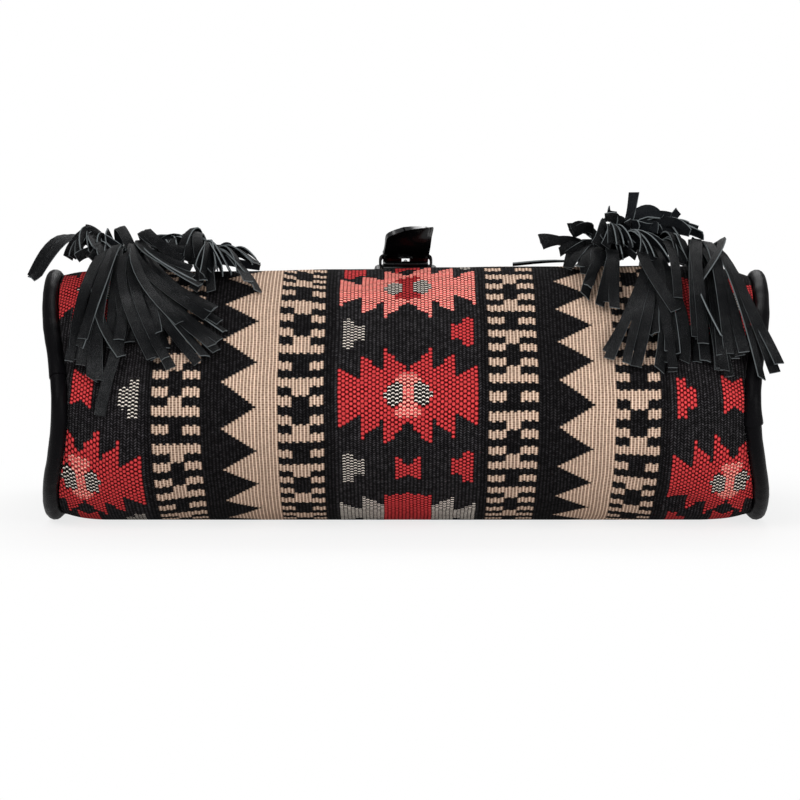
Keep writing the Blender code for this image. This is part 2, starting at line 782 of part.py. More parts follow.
def make_prong(parts, plane):
    """The prong: an eye round the heel bar, then a pin that lies on the outer bar."""
    eye = BUCKLE_WIRE + GAP + PRONG_WIRE
    rest = BUCKLE_WIRE + GAP + PRONG_WIRE
    loop = arc_points((0.0, 0.0), eye, -160, -270, 8)
    shaft = [(BUCKLE_REACH * 0.55, rest), (BUCKLE_REACH, rest + 0.1 * MM)]
    shaft += [(BUCKLE_REACH + 2.6 * MM, rest - 0.6 * MM)]
    points = [(0.0, y, z) for y, z in loop + shaft]
    prong = tube("buckle_prong", points, PRONG_WIRE, parts, dark_metal(), plane, False, 2)
    prong.location = (0.0, HEEL_BAR, BAR_HEIGHT)
    prong.rotation_euler.x = BUCKLE_TILT


# The rings at the tops of the gussets


def gusset_frame(name, side, parts):
    """A frame on the gusset: its Y runs to the mouth and its Z out of the bag."""
    frame = bpy.data.objects.new(name, None)
    parts.objects.link(frame)
    outward = Vector((side, 0.0, 0.0))
    along = Vector((0.0, 1.0, 0.0))
    across = along.cross(outward)
    turn = Matrix((across, along, outward)).transposed().to_4x4()
    surface = half_width(FRONT_ARC) - PIPING_RADIUS
    turn.translation = Vector((side * surface, MOUTH_Y - RING_PLACE, RING_HEIGHT))
    frame.matrix_world = turn
    return frame


def make_ring_tab(name, parts, frame):
    rows = folded_tab_rows(RING_TAB_LENGTH, RING_TAB_WIDTH / 2, CHAPE_LEATHER, RING_WIRE, 0.0)
    ribbon(name, rows, CHAPE_LEATHER, parts, black_leather(), frame)


def make_ring(name, parts, frame):
    """A D ring: its straight bar is at the object's origin."""
    half = RING_INNER / 2 + RING_WIRE
    bow = []
    for step in range(13):
        angle = math.pi * step / 12
        bow.append((half * math.cos(angle), RING_DEPTH * 0.35 + RING_DEPTH * 0.65 * math.sin(angle)))
    points = [(half - 1.5 * MM, 0.0, 0.0), (half, 1.5 * MM, 0.0)]
    points += [(x, y, 0.0) for x, y in bow]
    points += [(-half, 1.5 * MM, 0.0), (1.5 * MM - half, 0.0, 0.0)]
    ring = tube(name, points, RING_WIRE, parts, dark_metal(), frame, True, 2)
    ring.location.z = tab_bar_height(CHAPE_LEATHER, RING_WIRE)


# The tassels. Each has its side, how far its collar is in from the flap's side edge, and the
# stations of the soft solid that its strips fill: how far in from the same edge, how far past
# the shoulder, the lift over the kilim, and half the width and thickness. All in millimetres.

TASSELS = {
    "left_outer": (
        -1, 12, [(10, -8, 9, 9, 7), (8, -28, 9, 13, 7), (6, -52, 8.5, 16, 7), (4, -95, 8, 19, 6)],
    ),
    "left_middle": (
        -1, 36, [(35, -8, 8.5, 8, 7), (38, -26, 9, 12, 7), (48, -46, 9, 20, 7), (63, -76, 8, 24, 6)],
    ),
    "left_inner": (-1, 61, [(63, -4, 9, 9, 8), (70, -16, 10, 13, 9), (82, -32, 12, 15, 9)]),
    "right_inner": (
        1, 63, [(65, 5, 11, 8, 7), (68, -5, 24, 20, 11), (67, -12, 36, 25, 14), (66, -16, 43, 18, 11)],
    ),
    "right_middle": (
        1, 35, [(37, -8, 8.5, 8, 7), (43, -24, 9, 11, 7), (55, -44, 9, 17, 7), (72, -77, 8, 21, 6)],
    ),
    "right_outer": (
        1, 10, [(8, -8, 9, 9, 7), (7, -28, 9, 15, 7), (6, -52, 9, 20, 7), (5, -93, 8, 27, 6)],
    ),
}


def tassel_x(side, inwards):
    """The x of a place that is this many millimetres in from the flap's side edge."""
    return side * (FLAP_WIDTH / 2 - inwards * MM)


def make_collar(name, x, parts, plane):
    """The rolled leather collar that the strips come out of: a turned barrel."""
    half = COLLAR_LENGTH / 2
    r = COLLAR_RADIUS
    profile = [
        (0.0, half), (r * 0.78, half), (r * 0.94, half * 0.88), (r, half * 0.7),
        (r * 0.93, half * 0.45), (r * 0.93, -half * 0.45), (r, -half * 0.7),
        (r * 0.94, -half * 0.88), (r * 0.78, -half), (0.0, -half),
    ]
    bm = bmesh.new()
    verts = [bm.verts.new((radius, 0.0, height)) for radius, height in profile]
    for first, second in zip(verts, verts[1:]):
        bm.edges.new((first, second))
    collar = mesh_object(name, bm, parts, black_leather(), plane)
    screw = collar.modifiers.new("turned", "SCREW")
    screw.steps = screw.render_steps = COLLAR_STEPS
    screw.use_merge_vertices = True
    screw.merge_threshold = 0.00001
    screw.use_normal_calculate = True
    collar.location = (x, COLLAR_PLACE, COLLAR_RADIUS + GAP)
    collar.rotation_euler.x = -math.pi / 2
    smooth(collar)


def make_tassel_tab(name, x, parts, plane):
    """The flat thong that is sewn on the flap and carries the collar."""
    half = TASSEL_TAB_WIDTH / 2
    high = BINDING_HIGH + GAP + TASSEL_TAB_LEATHER / 2
    start = COLLAR_PLACE + COLLAR_LENGTH / 2 + GAP
    route = [(FLAP_EDGE + TASSEL_TAB_SEWN, high), (FLAP_EDGE - 2 * MM, high)]
    route += [((FLAP_EDGE + start) / 2, high * 0.8), (start + 3 * MM, COLLAR_RADIUS + GAP)]
    route += [(start, COLLAR_RADIUS + GAP)]
    rows = [(along, height, half, 0.0) for along, height in route]
    tab = ribbon(name, rows, TASSEL_TAB_LEATHER, parts, black_leather(), plane)
    tab.location.x = x


def make_bunch(name, side, inwards, stations, parts):
    """The strips of one tassel, as a soft closed solid that lies over the bag."""
    neck = (COLLAR_PLACE - COLLAR_LENGTH / 2 - GAP) / MM
    neck_lift = (COLLAR_RADIUS + GAP) / MM
    neck_radius = neck_lift * 0.85
    first = (inwards, neck, neck_lift, neck_radius, neck_radius)
    places = []
    for inward, past_shoulder, lift, wide, thick in [first, *stations]:
        x = tassel_x(side, inward)
        centre, out = on_front(x, SHOULDER_ARC + past_shoulder * MM, lift * MM)
        places.append((centre, out, wide * MM, thick * MM))
    down_front = -Vector((0.0, FRONT_ALONG.x, FRONT_ALONG.y))
    bm = bmesh.new()
    rings = []
    for index, (centre, out, wide, thick) in enumerate(places):
        before = places[max(index - 1, 0)][0]
        after = places[min(index + 1, len(places) - 1)][0]
        along = (after - before).normalized() if index else down_front
        across = along.cross(out).normalized()
        up = across.cross(along)
        ring = []
        for corner in range(8):
            angle = math.pi * (corner + 0.5) / 4
            offset = across * (wide * math.cos(angle)) + up * (thick * math.sin(angle))
            ring.append(bm.verts.new(centre + offset))
        rings.append(ring)
    for first, second in zip(rings, rings[1:]):
        for corner in range(8):
            after = (corner + 1) % 8
            bm.faces.new((first[corner], second[corner], second[after], first[after]))
    neck_face = bm.faces.new(rings[0])
    bm.faces.new(rings[-1][::-1])
    bmesh.ops.recalc_face_normals(bm, faces=bm.faces)
    crease = bm.edges.layers.float.new("crease_edge")
    for edge in neck_face.edges:
        edge[crease] = 1.0
    bunch = mesh_object(name, bm, parts, fringe_leather())
    soften = bunch.modifiers.new("soft", "SUBSURF")
    soften.levels = soften.render_levels = 1
    smooth(bunch, 80)


def make_tassels(parts, plane):
    for name, (side, inwards, stations) in TASSELS.items():
        x = tassel_x(side, inwards)
        make_tassel_tab("tassel_tab_" + name, x, parts, plane)
        make_collar("tassel_collar_" + name, x, parts, plane)
        make_bunch("tassel_strips_" + name, side, inwards, stations, parts)


def main():
    clear_scene()
    parts = new_collection("kilim_saddle_bag")
    cutters = new_collection("cutters")
    make_kilim_body(parts)
    make_lining(parts)
    for name, side, joint in (
        ("left", -1, LEFT_PIPING_JOINT),
        ("right", 1, RIGHT_PIPING_JOINT),
    ):
        make_gusset("gusset_" + name, side, parts)
        make_gusset_binding("gusset_binding_" + name, side, parts)
        make_piping("piping_front_" + name, side, FRONT_ARC, joint + PIPING_JOINT_GAP / 2, parts)
        make_piping("piping_back_" + name, side, joint - PIPING_JOINT_GAP / 2, -BACK_ARC, parts)
        frame = gusset_frame("ring_frame_" + name, side, parts)
        make_ring_tab("ring_tab_" + name, parts, frame)
        make_ring("strap_ring_" + name, parts, frame)
    make_mouth_binding(parts)
    plane = make_front_plane(parts)
    make_flap(parts, plane)
    make_flap_binding(parts, cutters, plane)
    make_top_band(parts)
    make_chape(parts, cutters, plane)
    make_keeper(parts, plane)
    make_buckle(parts, plane)
    make_prong(parts, plane)
    make_strap(parts, cutters, plane)
    make_tassels(parts, plane)


main()
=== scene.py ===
"""Looks of the kilim saddle bag: woven cloth, leather trim, clasp and fringed tassels.

The bag lies on its back with its bottom edge to the camera. Its width runs along X, +Y points to
the mouth and +Z out of the front. A place on the cloth is given by its x and its arc, which is
the distance round the bag from the middle of the bottom edge, positive up the front.
"""

import contextlib
import math
import random
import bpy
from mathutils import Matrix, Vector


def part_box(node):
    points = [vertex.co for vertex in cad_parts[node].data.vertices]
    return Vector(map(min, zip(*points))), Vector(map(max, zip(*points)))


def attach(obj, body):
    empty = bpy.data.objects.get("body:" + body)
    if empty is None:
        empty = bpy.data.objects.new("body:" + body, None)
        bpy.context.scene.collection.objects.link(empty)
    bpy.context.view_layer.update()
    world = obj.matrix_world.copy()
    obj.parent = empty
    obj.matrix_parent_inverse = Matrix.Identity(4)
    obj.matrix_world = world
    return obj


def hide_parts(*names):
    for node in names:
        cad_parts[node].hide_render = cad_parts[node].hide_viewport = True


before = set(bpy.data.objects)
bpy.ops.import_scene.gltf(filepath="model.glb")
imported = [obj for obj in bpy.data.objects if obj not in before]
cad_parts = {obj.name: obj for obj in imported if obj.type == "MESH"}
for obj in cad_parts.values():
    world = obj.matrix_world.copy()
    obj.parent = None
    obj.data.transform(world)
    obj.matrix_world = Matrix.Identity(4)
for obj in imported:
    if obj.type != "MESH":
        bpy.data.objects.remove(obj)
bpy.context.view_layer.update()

from types import SimpleNamespace

import bpy
import numpy as np
from bpy.props import FloatProperty, FloatVectorProperty, IntProperty, PointerProperty
from mathutils import Vector, noise
from mathutils.bvhtree import BVHTree

bl_info = {
    "name": "Kilim saddle bag",
    "version": (1, 0, 0),
    "blender": (4, 5, 0),
    "location": "3D View > Sidebar > Saddle bag",
    "description": "Builds the cloth, leather, clasp and tassels of a kilim saddle bag",
    "category": "Add Mesh",
}

MM = 0.001
TASSEL_NAMES = (
    "left_outer", "left_middle", "left_inner", "right_inner", "right_middle", "right_outer",
)
SIDES = (("left", -1), ("right", 1))


def ramp_up(value, start, length):
    """From 0 at the start up to 1 after the length. Both are in millimetres."""
    return np.clip((value - start * MM) / (length * MM), 0.0, 1.0)


def ramp_down(value, end, length):
    """Down to 0 at the end, from 1 at the length before it. Both are in millimetres."""
    return np.clip((end * MM - value) / (length * MM), 0.0, 1.0)


def run_along(places):
    """How far along a line each of its places is."""
    return np.concatenate([[0.0], np.cumsum(np.linalg.norm(np.diff(places, axis=0), axis=1))])


def read_at(at, stations, table):
    """A table's columns at some distances, read between its stations."""
    return np.stack([np.interp(at, stations, column) for column in table.T], axis=-1)


def read_line(line, share):
    """A line's columns at shares, from 0 at its first place to 1 at its last."""
    return read_at(share, np.linspace(0.0, 1.0, len(line)), line)


# The bag's section, as in the part's own drawing

PIPING_RADIUS = 4.3 * MM
HALF_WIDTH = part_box("piping_back_right")[1].x
KILIM = 2.5 * MM
KEEL = np.array((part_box("kilim_body")[0].y, 70 * MM))
SHOULDER = KEEL + np.array((88 * MM, 69.5 * MM))
FRONT_TOP = np.array((KEEL[0] + 280 * MM, 105 * MM))
BACK_TURN = np.array((KEEL[0] + 80 * MM, 0.0))
BACK_TOP = np.array((KEEL[0] + 268 * MM, 0.0))
KEEL_PULL = 13 * MM
KEEL_REACH = 55 * MM
FRONT_ALONG = (FRONT_TOP - SHOULDER) / np.linalg.norm(FRONT_TOP - SHOULDER)


def bezier(start, start_handle, end_handle, end):
    """Points along a cubic curve."""
    t = np.linspace(0.0, 1.0, 91)[:, None]
    s = 1 - t
    return s**3 * start + 3 * s * s * t * start_handle + 3 * s * t * t * end_handle + t**3 * end


def section_tables():
    """Arcs, points and outward normals from the back seam round the keel to the front's top."""
    front = bezier(KEEL, KEEL + (0, 20 * MM), SHOULDER - FRONT_ALONG * 28 * MM, SHOULDER)
    back = bezier(KEEL, KEEL - (0, 30 * MM), BACK_TURN - (34 * MM, 0), BACK_TURN)
    top = SHOULDER + np.linspace(0, 1, 40)[1:, None] * (FRONT_TOP - SHOULDER)
    base = BACK_TURN + np.linspace(0, 1, 40)[1:, None] * (BACK_TOP - BACK_TURN)
    points = np.vstack([base[::-1], back[::-1], front[1:], top])
    arcs = run_along(points)
    arcs -= arcs[len(base) + len(back) - 1]
    along = np.gradient(points, arcs, axis=0)
    normals = np.stack([-along[:, 1], along[:, 0]], axis=1)
    return arcs, points, normals / np.linalg.norm(normals, axis=1)[:, None]


ARCS, SECTION, NORMALS = section_tables()
FRONT_ARC = ARCS[-1]
BACK_ARC = ARCS[0]
SHOULDER_ARC = FRONT_ARC - np.linalg.norm(FRONT_TOP - SHOULDER)


def read_table(table, arc):
    """The section's points or normals at these arcs."""
    return read_at(arc, ARCS, table)


def half_width(arc):
    """Half the bag's width over its piping: the seams pull in towards the keel."""
    return HALF_WIDTH - KEEL_PULL * np.exp(-((np.asarray(arc) / KEEL_REACH) ** 2))


def on_bag(x, arc, lift):
    """Places over the cloth, for arrays of x, arc and the height over its outer face."""
    x, arc, lift = np.broadcast_arrays(x, arc, lift)
    flat = read_table(SECTION, arc) + read_table(NORMALS, arc) * lift[..., None]
    return np.concatenate([x[..., None], flat], axis=-1)


def on_front(x, along, height):
    """Places in the plane of the front: along runs from the shoulder to the mouth."""
    return on_bag(x, SHOULDER_ARC + np.asarray(along), height)


# Settings that a user would change


def length_setting(name, description, default):
    """A length in metres."""
    return FloatProperty(name=name, description=description, default=default, unit="LENGTH")


def colour_setting(name, description, default):
    """A colour in linear red, green and blue."""
    return FloatVectorProperty(
        name=name, description=description, default=default, subtype="COLOR"
    )


class SADDLE_PG_weave(bpy.types.PropertyGroup):
    repeat: length_setting("Repeat", "Width of one repeat of the pattern", 178.5 * MM)
    field_rib: length_setting("Field rib", "Rib pitch in the field of medallions", 2.0 * MM)
    border_rib: length_setting("Border rib", "Rib pitch in the tan borders", 1.861 * MM)
    row: length_setting("Row", "Height of one row of stitches", 1.25 * MM)
    relief: length_setting("Relief", "How far the stitches stand up", 0.5 * MM)
    black: colour_setting(
        "Black yarn", "Ground yarn, where it catches the light", (0.056, 0.052, 0.056)
    )
    red: colour_setting("Red yarn", "Yarn of the medallions", (0.74, 0.062, 0.066))
    tan: colour_setting("Tan yarn", "Yarn of the borders", (0.90, 0.67, 0.52))
    white: colour_setting("White yarn", "Yarn of the dashes", (0.93, 0.84, 0.75))


class SADDLE_PG_leather(bpy.types.PropertyGroup):
    trim: colour_setting("Trim", "Colour of the smooth leather trim", (0.0026, 0.0024, 0.0030))
    fringe: colour_setting(
        "Fringe", "Colour of the tassel strips' faces", (0.0020, 0.0024, 0.0030)
    )
    cut_edge: colour_setting("Cut edge", "Colour of the strips' cut edges", (0.12, 0.135, 0.14))
    grain: length_setting("Grain", "Size of the leather's grain", 0.9 * MM)
    thread: colour_setting("Thread", "Colour of the sewing thread", (0.03, 0.03, 0.032))


class SADDLE_PG_tassels(bpy.types.PropertyGroup):
    strip_width: length_setting("Strip width", "Width of one strip", 5.5 * MM)
    strip_leather: length_setting("Strip leather", "Thickness of a strip", 0.7 * MM)
    seed: IntProperty(name="Seed", description="Changes how the strips fall", default=9)


class SADDLE_PG_stage(bpy.types.PropertyGroup):
    distance: length_setting("Camera distance", "From the camera to the bottom edge", 1.27)
    elevation: FloatProperty(
        name="Camera elevation", description="Angle above the floor",
        default=math.radians(4.0), subtype="ANGLE",
    )
    lens: FloatProperty(name="Lens", description="Focal length in millimetres", default=108.65)
    ambient: FloatProperty(
        name="Ambient", description="Strength of the room's even light", default=0.46,
    )
    key: FloatProperty(name="Key", description="Power of the main soft box in watts", default=17)
    fill: FloatProperty(
        name="Fill", description="Power of each of the other soft boxes in watts", default=12,
    )


# Materials: numbers that nodes work out


class Amount:
    """A number in a material's node tree, which takes part in sums."""

    def __init__(self, tree, socket):
        self.tree = tree
        self.socket = socket

    def math(self, operation, *others, first=None, clamp=False):
        node = self.tree.nodes.new("ShaderNodeMath")
        node.operation = operation
        node.use_clamp = clamp
        values = [self if first is None else first, *others]
        for place, value in zip(node.inputs, values):
            if isinstance(value, Amount):
                self.tree.links.new(value.socket, place)
            else:
                place.default_value = value
        return Amount(self.tree, node.outputs[0])

    def __add__(self, other):
        return self.math("ADD", other)

    def __sub__(self, other):
        return self.math("SUBTRACT", other)

    def __rsub__(self, other):
        return self.math("SUBTRACT", self, first=other)

    def __mul__(self, other):
        return self.math("MULTIPLY", other)

    def __truediv__(self, other):
        return self.math("DIVIDE", other)

    def __abs__(self):
        return self.math("ABSOLUTE")

    def below(self, other):
        return self.math("LESS_THAN", other)

    def above(self, other):
        return self.math("GREATER_THAN", other)

    def floor(self):
        return self.math("FLOOR")

    def wrap(self, span):
        return self.math("FLOORED_MODULO", span)

    def least(self, other):
        return self.math("MINIMUM", other)

    def most(self, other):
        return self.math("MAXIMUM", other)

    def times_plus(self, factor, rest):
        return self.math("MULTIPLY_ADD", factor, rest)

    def clamped(self):
        return self.math("MULTIPLY", 1.0, clamp=True)

    def otherwise(self, other, share):
        """This where the share is 0, the other where it is 1."""
        return (other - self).times_plus(share, self)

    def rising(self, low, high):
        """A smooth rise from 0 at low to 1 at high."""
        node = self.tree.nodes.new("ShaderNodeMapRange")
        node.interpolation_type = "SMOOTHSTEP"
        self.tree.links.new(self.socket, node.inputs["Value"])
        node.inputs["From Min"].default_value = low
        node.inputs["From Max"].default_value = high
        return Amount(self.tree, node.outputs["Result"])

    def wave(self, turns=1.0):
        """A cosine of this many turns, between 0 and 1."""
        return (self * (2 * math.pi * turns)).math("COSINE").times_plus(0.5, 0.5)


class Finish:
    """A new material with its Principled shader, and short ways to add nodes to it."""

    def __init__(self, name):
        self.material = bpy.data.materials.new(name)
        self.material.use_nodes = True
        self.tree = self.material.node_tree
        self.shader = self.tree.nodes["Principled BSDF"]

    def node(self, kind, **inputs):
        made = self.tree.nodes.new(kind)
        for name, value in inputs.items():
            self.feed(made.inputs[name.replace("_", " ")], value)
        return made

    def feed(self, socket, value):
        if isinstance(value, Amount):
            value = value.socket
        if isinstance(value, bpy.types.NodeSocket):
            self.tree.links.new(value, socket)
        else:
            socket.default_value = value

    def set(self, **inputs):
        for name, value in inputs.items():
            self.feed(self.shader.inputs[name.replace("_", " ")], value)

    def object_place(self):
        return self.node("ShaderNodeTexCoord").outputs["Object"]

    def vector(self, x, y, z=0.0):
        return self.node("ShaderNodeCombineXYZ", X=x, Y=y, Z=z).outputs[0]

    def noise(self, place, scale, detail=2.0, roughness=0.5):
        made = self.node(
            "ShaderNodeTexNoise", Vector=place, Scale=scale, Detail=detail, Roughness=roughness
        )
        return Amount(self.tree, made.outputs["Fac"])

    def chance(self, x, y):
        made = self.node("ShaderNodeTexWhiteNoise", Vector=self.vector(x, y))
        return Amount(self.tree, made.outputs["Value"])

    def cells(self, place, scale):
        made = self.node("ShaderNodeTexVoronoi", Vector=place, Scale=scale)
        made.feature = "SMOOTH_F1"
        made.inputs["Smoothness"].default_value = 0.6
        return Amount(self.tree, made.outputs["Distance"])

    def mixed(self, share, first, second):
        made = self.tree.nodes.new("ShaderNodeMix")
        made.data_type = "RGBA"
        self.feed(made.inputs["Factor"], share)
        self.feed(made.inputs["A"], full(first))
        self.feed(made.inputs["B"], full(second))
        return made.outputs["Result"]

    def scaled(self, colour, amount):
        made = self.node("ShaderNodeVectorMath")
        made.operation = "SCALE"
        self.feed(made.inputs[0], colour)
        self.feed(made.inputs["Scale"], amount)
        return made.outputs[0]

    def relief(self, height, distance):
        made = self.node("ShaderNodeBump", Height=height, Strength=1.0, Distance=distance)
        self.set(Normal=made.outputs["Normal"])


def full(colour):
    """A colour with its alpha, where it is written as three numbers."""
    if isinstance(colour, bpy.types.NodeSocket):
        return colour
    return (*colour[:3], 1.0)


def shaded(colour, shade):
    """A colour times one number, or times one for each channel."""
    return tuple(np.multiply(tuple(colour), shade).tolist())


# The kilim's pattern, in millimetres of cloth: across from the bag's middle, and along the arc

FIELD_HALF = 39.0
FIELD_CENTRE = 1.05
PATTERN_LENGTH = 242.0
PATTERN_START = -120.0
WOBBLE_ACROSS = 1.4
WOBBLE_ALONG = 1.1
DASH_PITCH = 2.0

# Where the motifs are centred along the arc, and where one gives way to the next: the medallions
# of the middle column, those beside it, then the small motifs of both

GREY_CENTRE, MIDDLE_CENTRE, PINK_CENTRE = -86.5, 5.4, 84.0
GREY_END, PINK_START = -36.6, 45.4
SIDE_LOW, SIDE_HIGH, SIDE_CHANGE = -43.0, 72.0, 14.5
SMALL_LOW, SMALL_MIDDLE, SMALL_HIGH, SMALL_CHANGE = -38.0, 45.0, 115.0, 6.8
SIDE_SMALL_LOW, SIDE_SMALL_HIGH = -81.0, 4.0

# The eyes and the hourglass of a medallion, from its centre

EYE_ACROSS, EYE_HALF_WIDTH, EYE_HALF_HEIGHT = 7.5, 4.7, 6.9
HOURGLASS_TALL = 11.4

# Across, counted in ribs: from a motif's axis, and for the borders from the field's middle

MEDALLION_END, FIELD_END, TOOTH_RIBS = 18.5, 19.5, 6.0
HALF_DIAMOND_START, HALF_DIAMOND_STEP, HALF_DIAMOND_END = 11.5, 14.5, 17.9
BOW_END = 3.5
ZIGZAG_START, ZIGZAG_END = 41.5, 57.5
CHEQUER_START, CHEQUER_RIBS = 22.0, 13.5
SECOND_CHEQUER = 36.0

# In rows: how tall a medallion's inner tooth starts and how much it climbs with each rib, the two
# heights of a half diamond, and one repeat of the borders' figures

TOOTH_TALL, TOOTH_CLIMB = 11.4, 1.75
HALF_DIAMOND_TALL, HALF_DIAMOND_RISE = 4.5, 4.3
OUTER_REPEAT, CENTRAL_REPEAT, ZIGZAG_REPEAT = 8.0, 20.0, 20.0

# Where each chequer starts along the arc, and how far it is lowered: the first one in the left
# repeat, the second one in the others, and every other rib of both

CHEQUER_ARC, SECOND_CHEQUER_ARC = 13.6, -16.4
LEFT_DROP, SECOND_DROP = 16.5, 8.0
RIB_STAGGER = 0.8


def kilim_pattern(finish, weave):
    """Amounts for the yarn of each stitch and for where the shaded point lies in its stitch."""
    rib = weave.field_rib / MM
    border_rib = weave.border_rib / MM
    row = weave.row / MM
    repeat = weave.repeat / MM
    uv = finish.node("ShaderNodeUVMap")
    uv.uv_map = "cloth"
    flat = finish.node("ShaderNodeSeparateXYZ", Vector=uv.outputs["UV"])
    across, along = (Amount(finish.tree, flat.outputs[axis]) / MM for axis in "XY")
    drift = finish.noise(finish.vector(across * 0.03, along * 0.03), 1.0) - 0.5
    across = across + drift * WOBBLE_ACROSS
    along = along + drift * WOBBLE_ALONG

    # Ribs: the field's are wider than the borders'
    shifted = across + (FIELD_HALF - FIELD_CENTRE)
    turn = (shifted / repeat).floor()
    side = abs(turn).least(1.0)
    left = turn.below(-0.5)
    inside = shifted.wrap(repeat)
    extra = (inside - 2 * FIELD_HALF).most(0.0) * (1 / border_rib - 1 / rib)
    ribs = inside / rib + extra - FIELD_HALF / rib
    k = (ribs + 0.5).floor()
    in_rib = ribs - k
    odd = k.wrap(2.0)

    # Rows: red stitches are two rows high and staggered
    rows = along / row
    whole_row = (rows + 0.5).floor()
    in_row = rows - whole_row
    pairs = rows * 0.5 + odd * 0.5
    pair = (pairs + 0.5).floor()
    in_pair = pairs - pair
    stitch_v = (pair - odd * 0.5) * (2 * row)

    # Which motif is nearest: the middle column of medallions, or one beside it
    v = (stitch_v - PATTERN_START).wrap(PATTERN_LENGTH) + PATTERN_START
    upper = v.above(PINK_START)
    lower = v.below(GREY_END)
    middle_centre = upper * (PINK_CENTRE - MIDDLE_CENTRE) + MIDDLE_CENTRE
    middle_centre = middle_centre - lower * (MIDDLE_CENTRE - GREY_CENTRE)
    side_centre = v.above(SIDE_CHANGE) * (SIDE_HIGH - SIDE_LOW) + SIDE_LOW
    centre = middle_centre.otherwise(side_centre, side)
    middle_small = v.above(SMALL_CHANGE) * (SMALL_MIDDLE - SMALL_LOW) + SMALL_LOW
    middle_small = middle_small + v.above(PINK_CENTRE) * (SMALL_HIGH - SMALL_MIDDLE)
    side_small = SIDE_SMALL_HIGH - v.below(SIDE_LOW) * (SIDE_SMALL_HIGH - SIDE_SMALL_LOW)
    small_centre = middle_small.otherwise(side_small, side)
    middle = 1.0 - side
    pink_kind = upper * middle
    grey_kind = lower * middle

    # Medallion: three teeth on each side, each with an upright outer edge. The grey one has a
    # hill in the middle. Heights are in rows
    from_axis = abs(k)
    tooth = ((from_axis - 0.5).most(0.0) / TOOTH_RIBS).floor()
    into_tooth = from_axis - tooth * TOOTH_RIBS
    hill = grey_kind * from_axis.below(TOOTH_RIBS + 0.5)
    into_tooth = into_tooth.otherwise(TOOTH_RIBS - into_tooth * 0.2, hill)
    base = TOOTH_TALL - tooth * 0.7 - tooth * tooth * 0.9
    climb = TOOTH_CLIMB - tooth * 0.2 - tooth * tooth * 0.05
    tall = (base + climb * into_tooth) * row
    from_centre = abs(v - centre)
    medallion = from_centre.below(tall) * from_axis.below(MEDALLION_END)

    # The two eyes and the hourglass between them
    wide = from_axis * rib
    eye_x = (wide - EYE_ACROSS) / EYE_HALF_WIDTH
    eye_y = from_centre / EYE_HALF_HEIGHT
    eye = (eye_x * eye_x + eye_y * eye_y).below(1.0)
    waist = (from_centre - 3.0).most(0.0) * 0.75 + 2.6
    ends = (HOURGLASS_TALL - from_centre) * 2.3 + 3.7
    hourglass = wide.below(waist.least(ends)) * from_centre.below(HOURGLASS_TALL + 0.2)

    # Small motifs between the medallions: stepped half diamonds and a bow tie
    from_small = abs(v - small_centre)
    taller = from_axis.above(HALF_DIAMOND_STEP) * HALF_DIAMOND_RISE + HALF_DIAMOND_TALL
    half_diamond = from_small.below(taller * row) * from_axis.above(HALF_DIAMOND_START)
    half_diamond = half_diamond * from_axis.below(HALF_DIAMOND_END)
    topmost = v.above(PINK_CENTRE) * middle
    white_half = abs(k.below(0.0) - side.most(topmost))
    bow_tall = (from_axis * 1.2 + 3.2 + side * 2.6) * row
    bow = abs(v - small_centre + 1.3 - side * 3.6).below(bow_tall) * from_axis.below(BOW_END)
    bow = bow * v.below(SMALL_CHANGE).most(side).most(topmost)

    # Borders: two chequers and a zigzag with a solid stripe
    second = k.above(ZIGZAG_END)
    chequer_rib = k - second * SECOND_CHEQUER - CHEQUER_START
    in_chequer = chequer_rib.above(-0.5) * chequer_rib.below(CHEQUER_RIBS - second)
    dropped = (left * LEFT_DROP).otherwise(SECOND_DROP - left * SECOND_DROP, second)
    start = CHEQUER_ARC - second * (CHEQUER_ARC - SECOND_CHEQUER_ARC)
    step = (start - along - dropped - odd * RIB_STAGGER) / row + 2.0
    central = abs(chequer_rib - 6.5 + second * 0.5).below(second * 0.5 + 2.0)
    outer_on = step.wrap(OUTER_REPEAT).below(OUTER_REPEAT / 2)
    half = CENTRAL_REPEAT / 2
    central_on = abs((step + half).wrap(CENTRAL_REPEAT) - half).below(4.0)
    chequer = outer_on.otherwise(central_on, central) * in_chequer
    zigzag = abs(whole_row.wrap(ZIGZAG_REPEAT) - ZIGZAG_REPEAT / 2).below(k - ZIGZAG_START)
    zigzag = zigzag * k.above(ZIGZAG_START) * k.below(ZIGZAG_END)
    tan = chequer.most(zigzag)

    # Yarns
    not_eye = 1.0 - eye
    body_grey = grey_kind * from_axis.above(TOOTH_RIBS + 0.5)
    pink_here = (hourglass * (1.0 - grey_kind)).otherwise(1.0 - hourglass, pink_kind) * not_eye
    dark_here = hourglass * pink_kind * not_eye
    pink = pink_here * medallion
    dashed_black = (eye * (1.0 - grey_kind)).most(body_grey) * medallion
    dashed_black = dashed_black.most(half_diamond * white_half)
    red = medallion.most(half_diamond).most(bow) - dashed_black
    return SimpleNamespace(
        k=k, pair=pair, in_rib=in_rib, in_row=in_row, in_pair=in_pair, ribs=ribs, rows=rows,
        tan=tan, red=red.clamped(), pink=pink, dark=dark_here, dashed_black=dashed_black,
        grey=body_grey * medallion, across=across, along=along,
    )


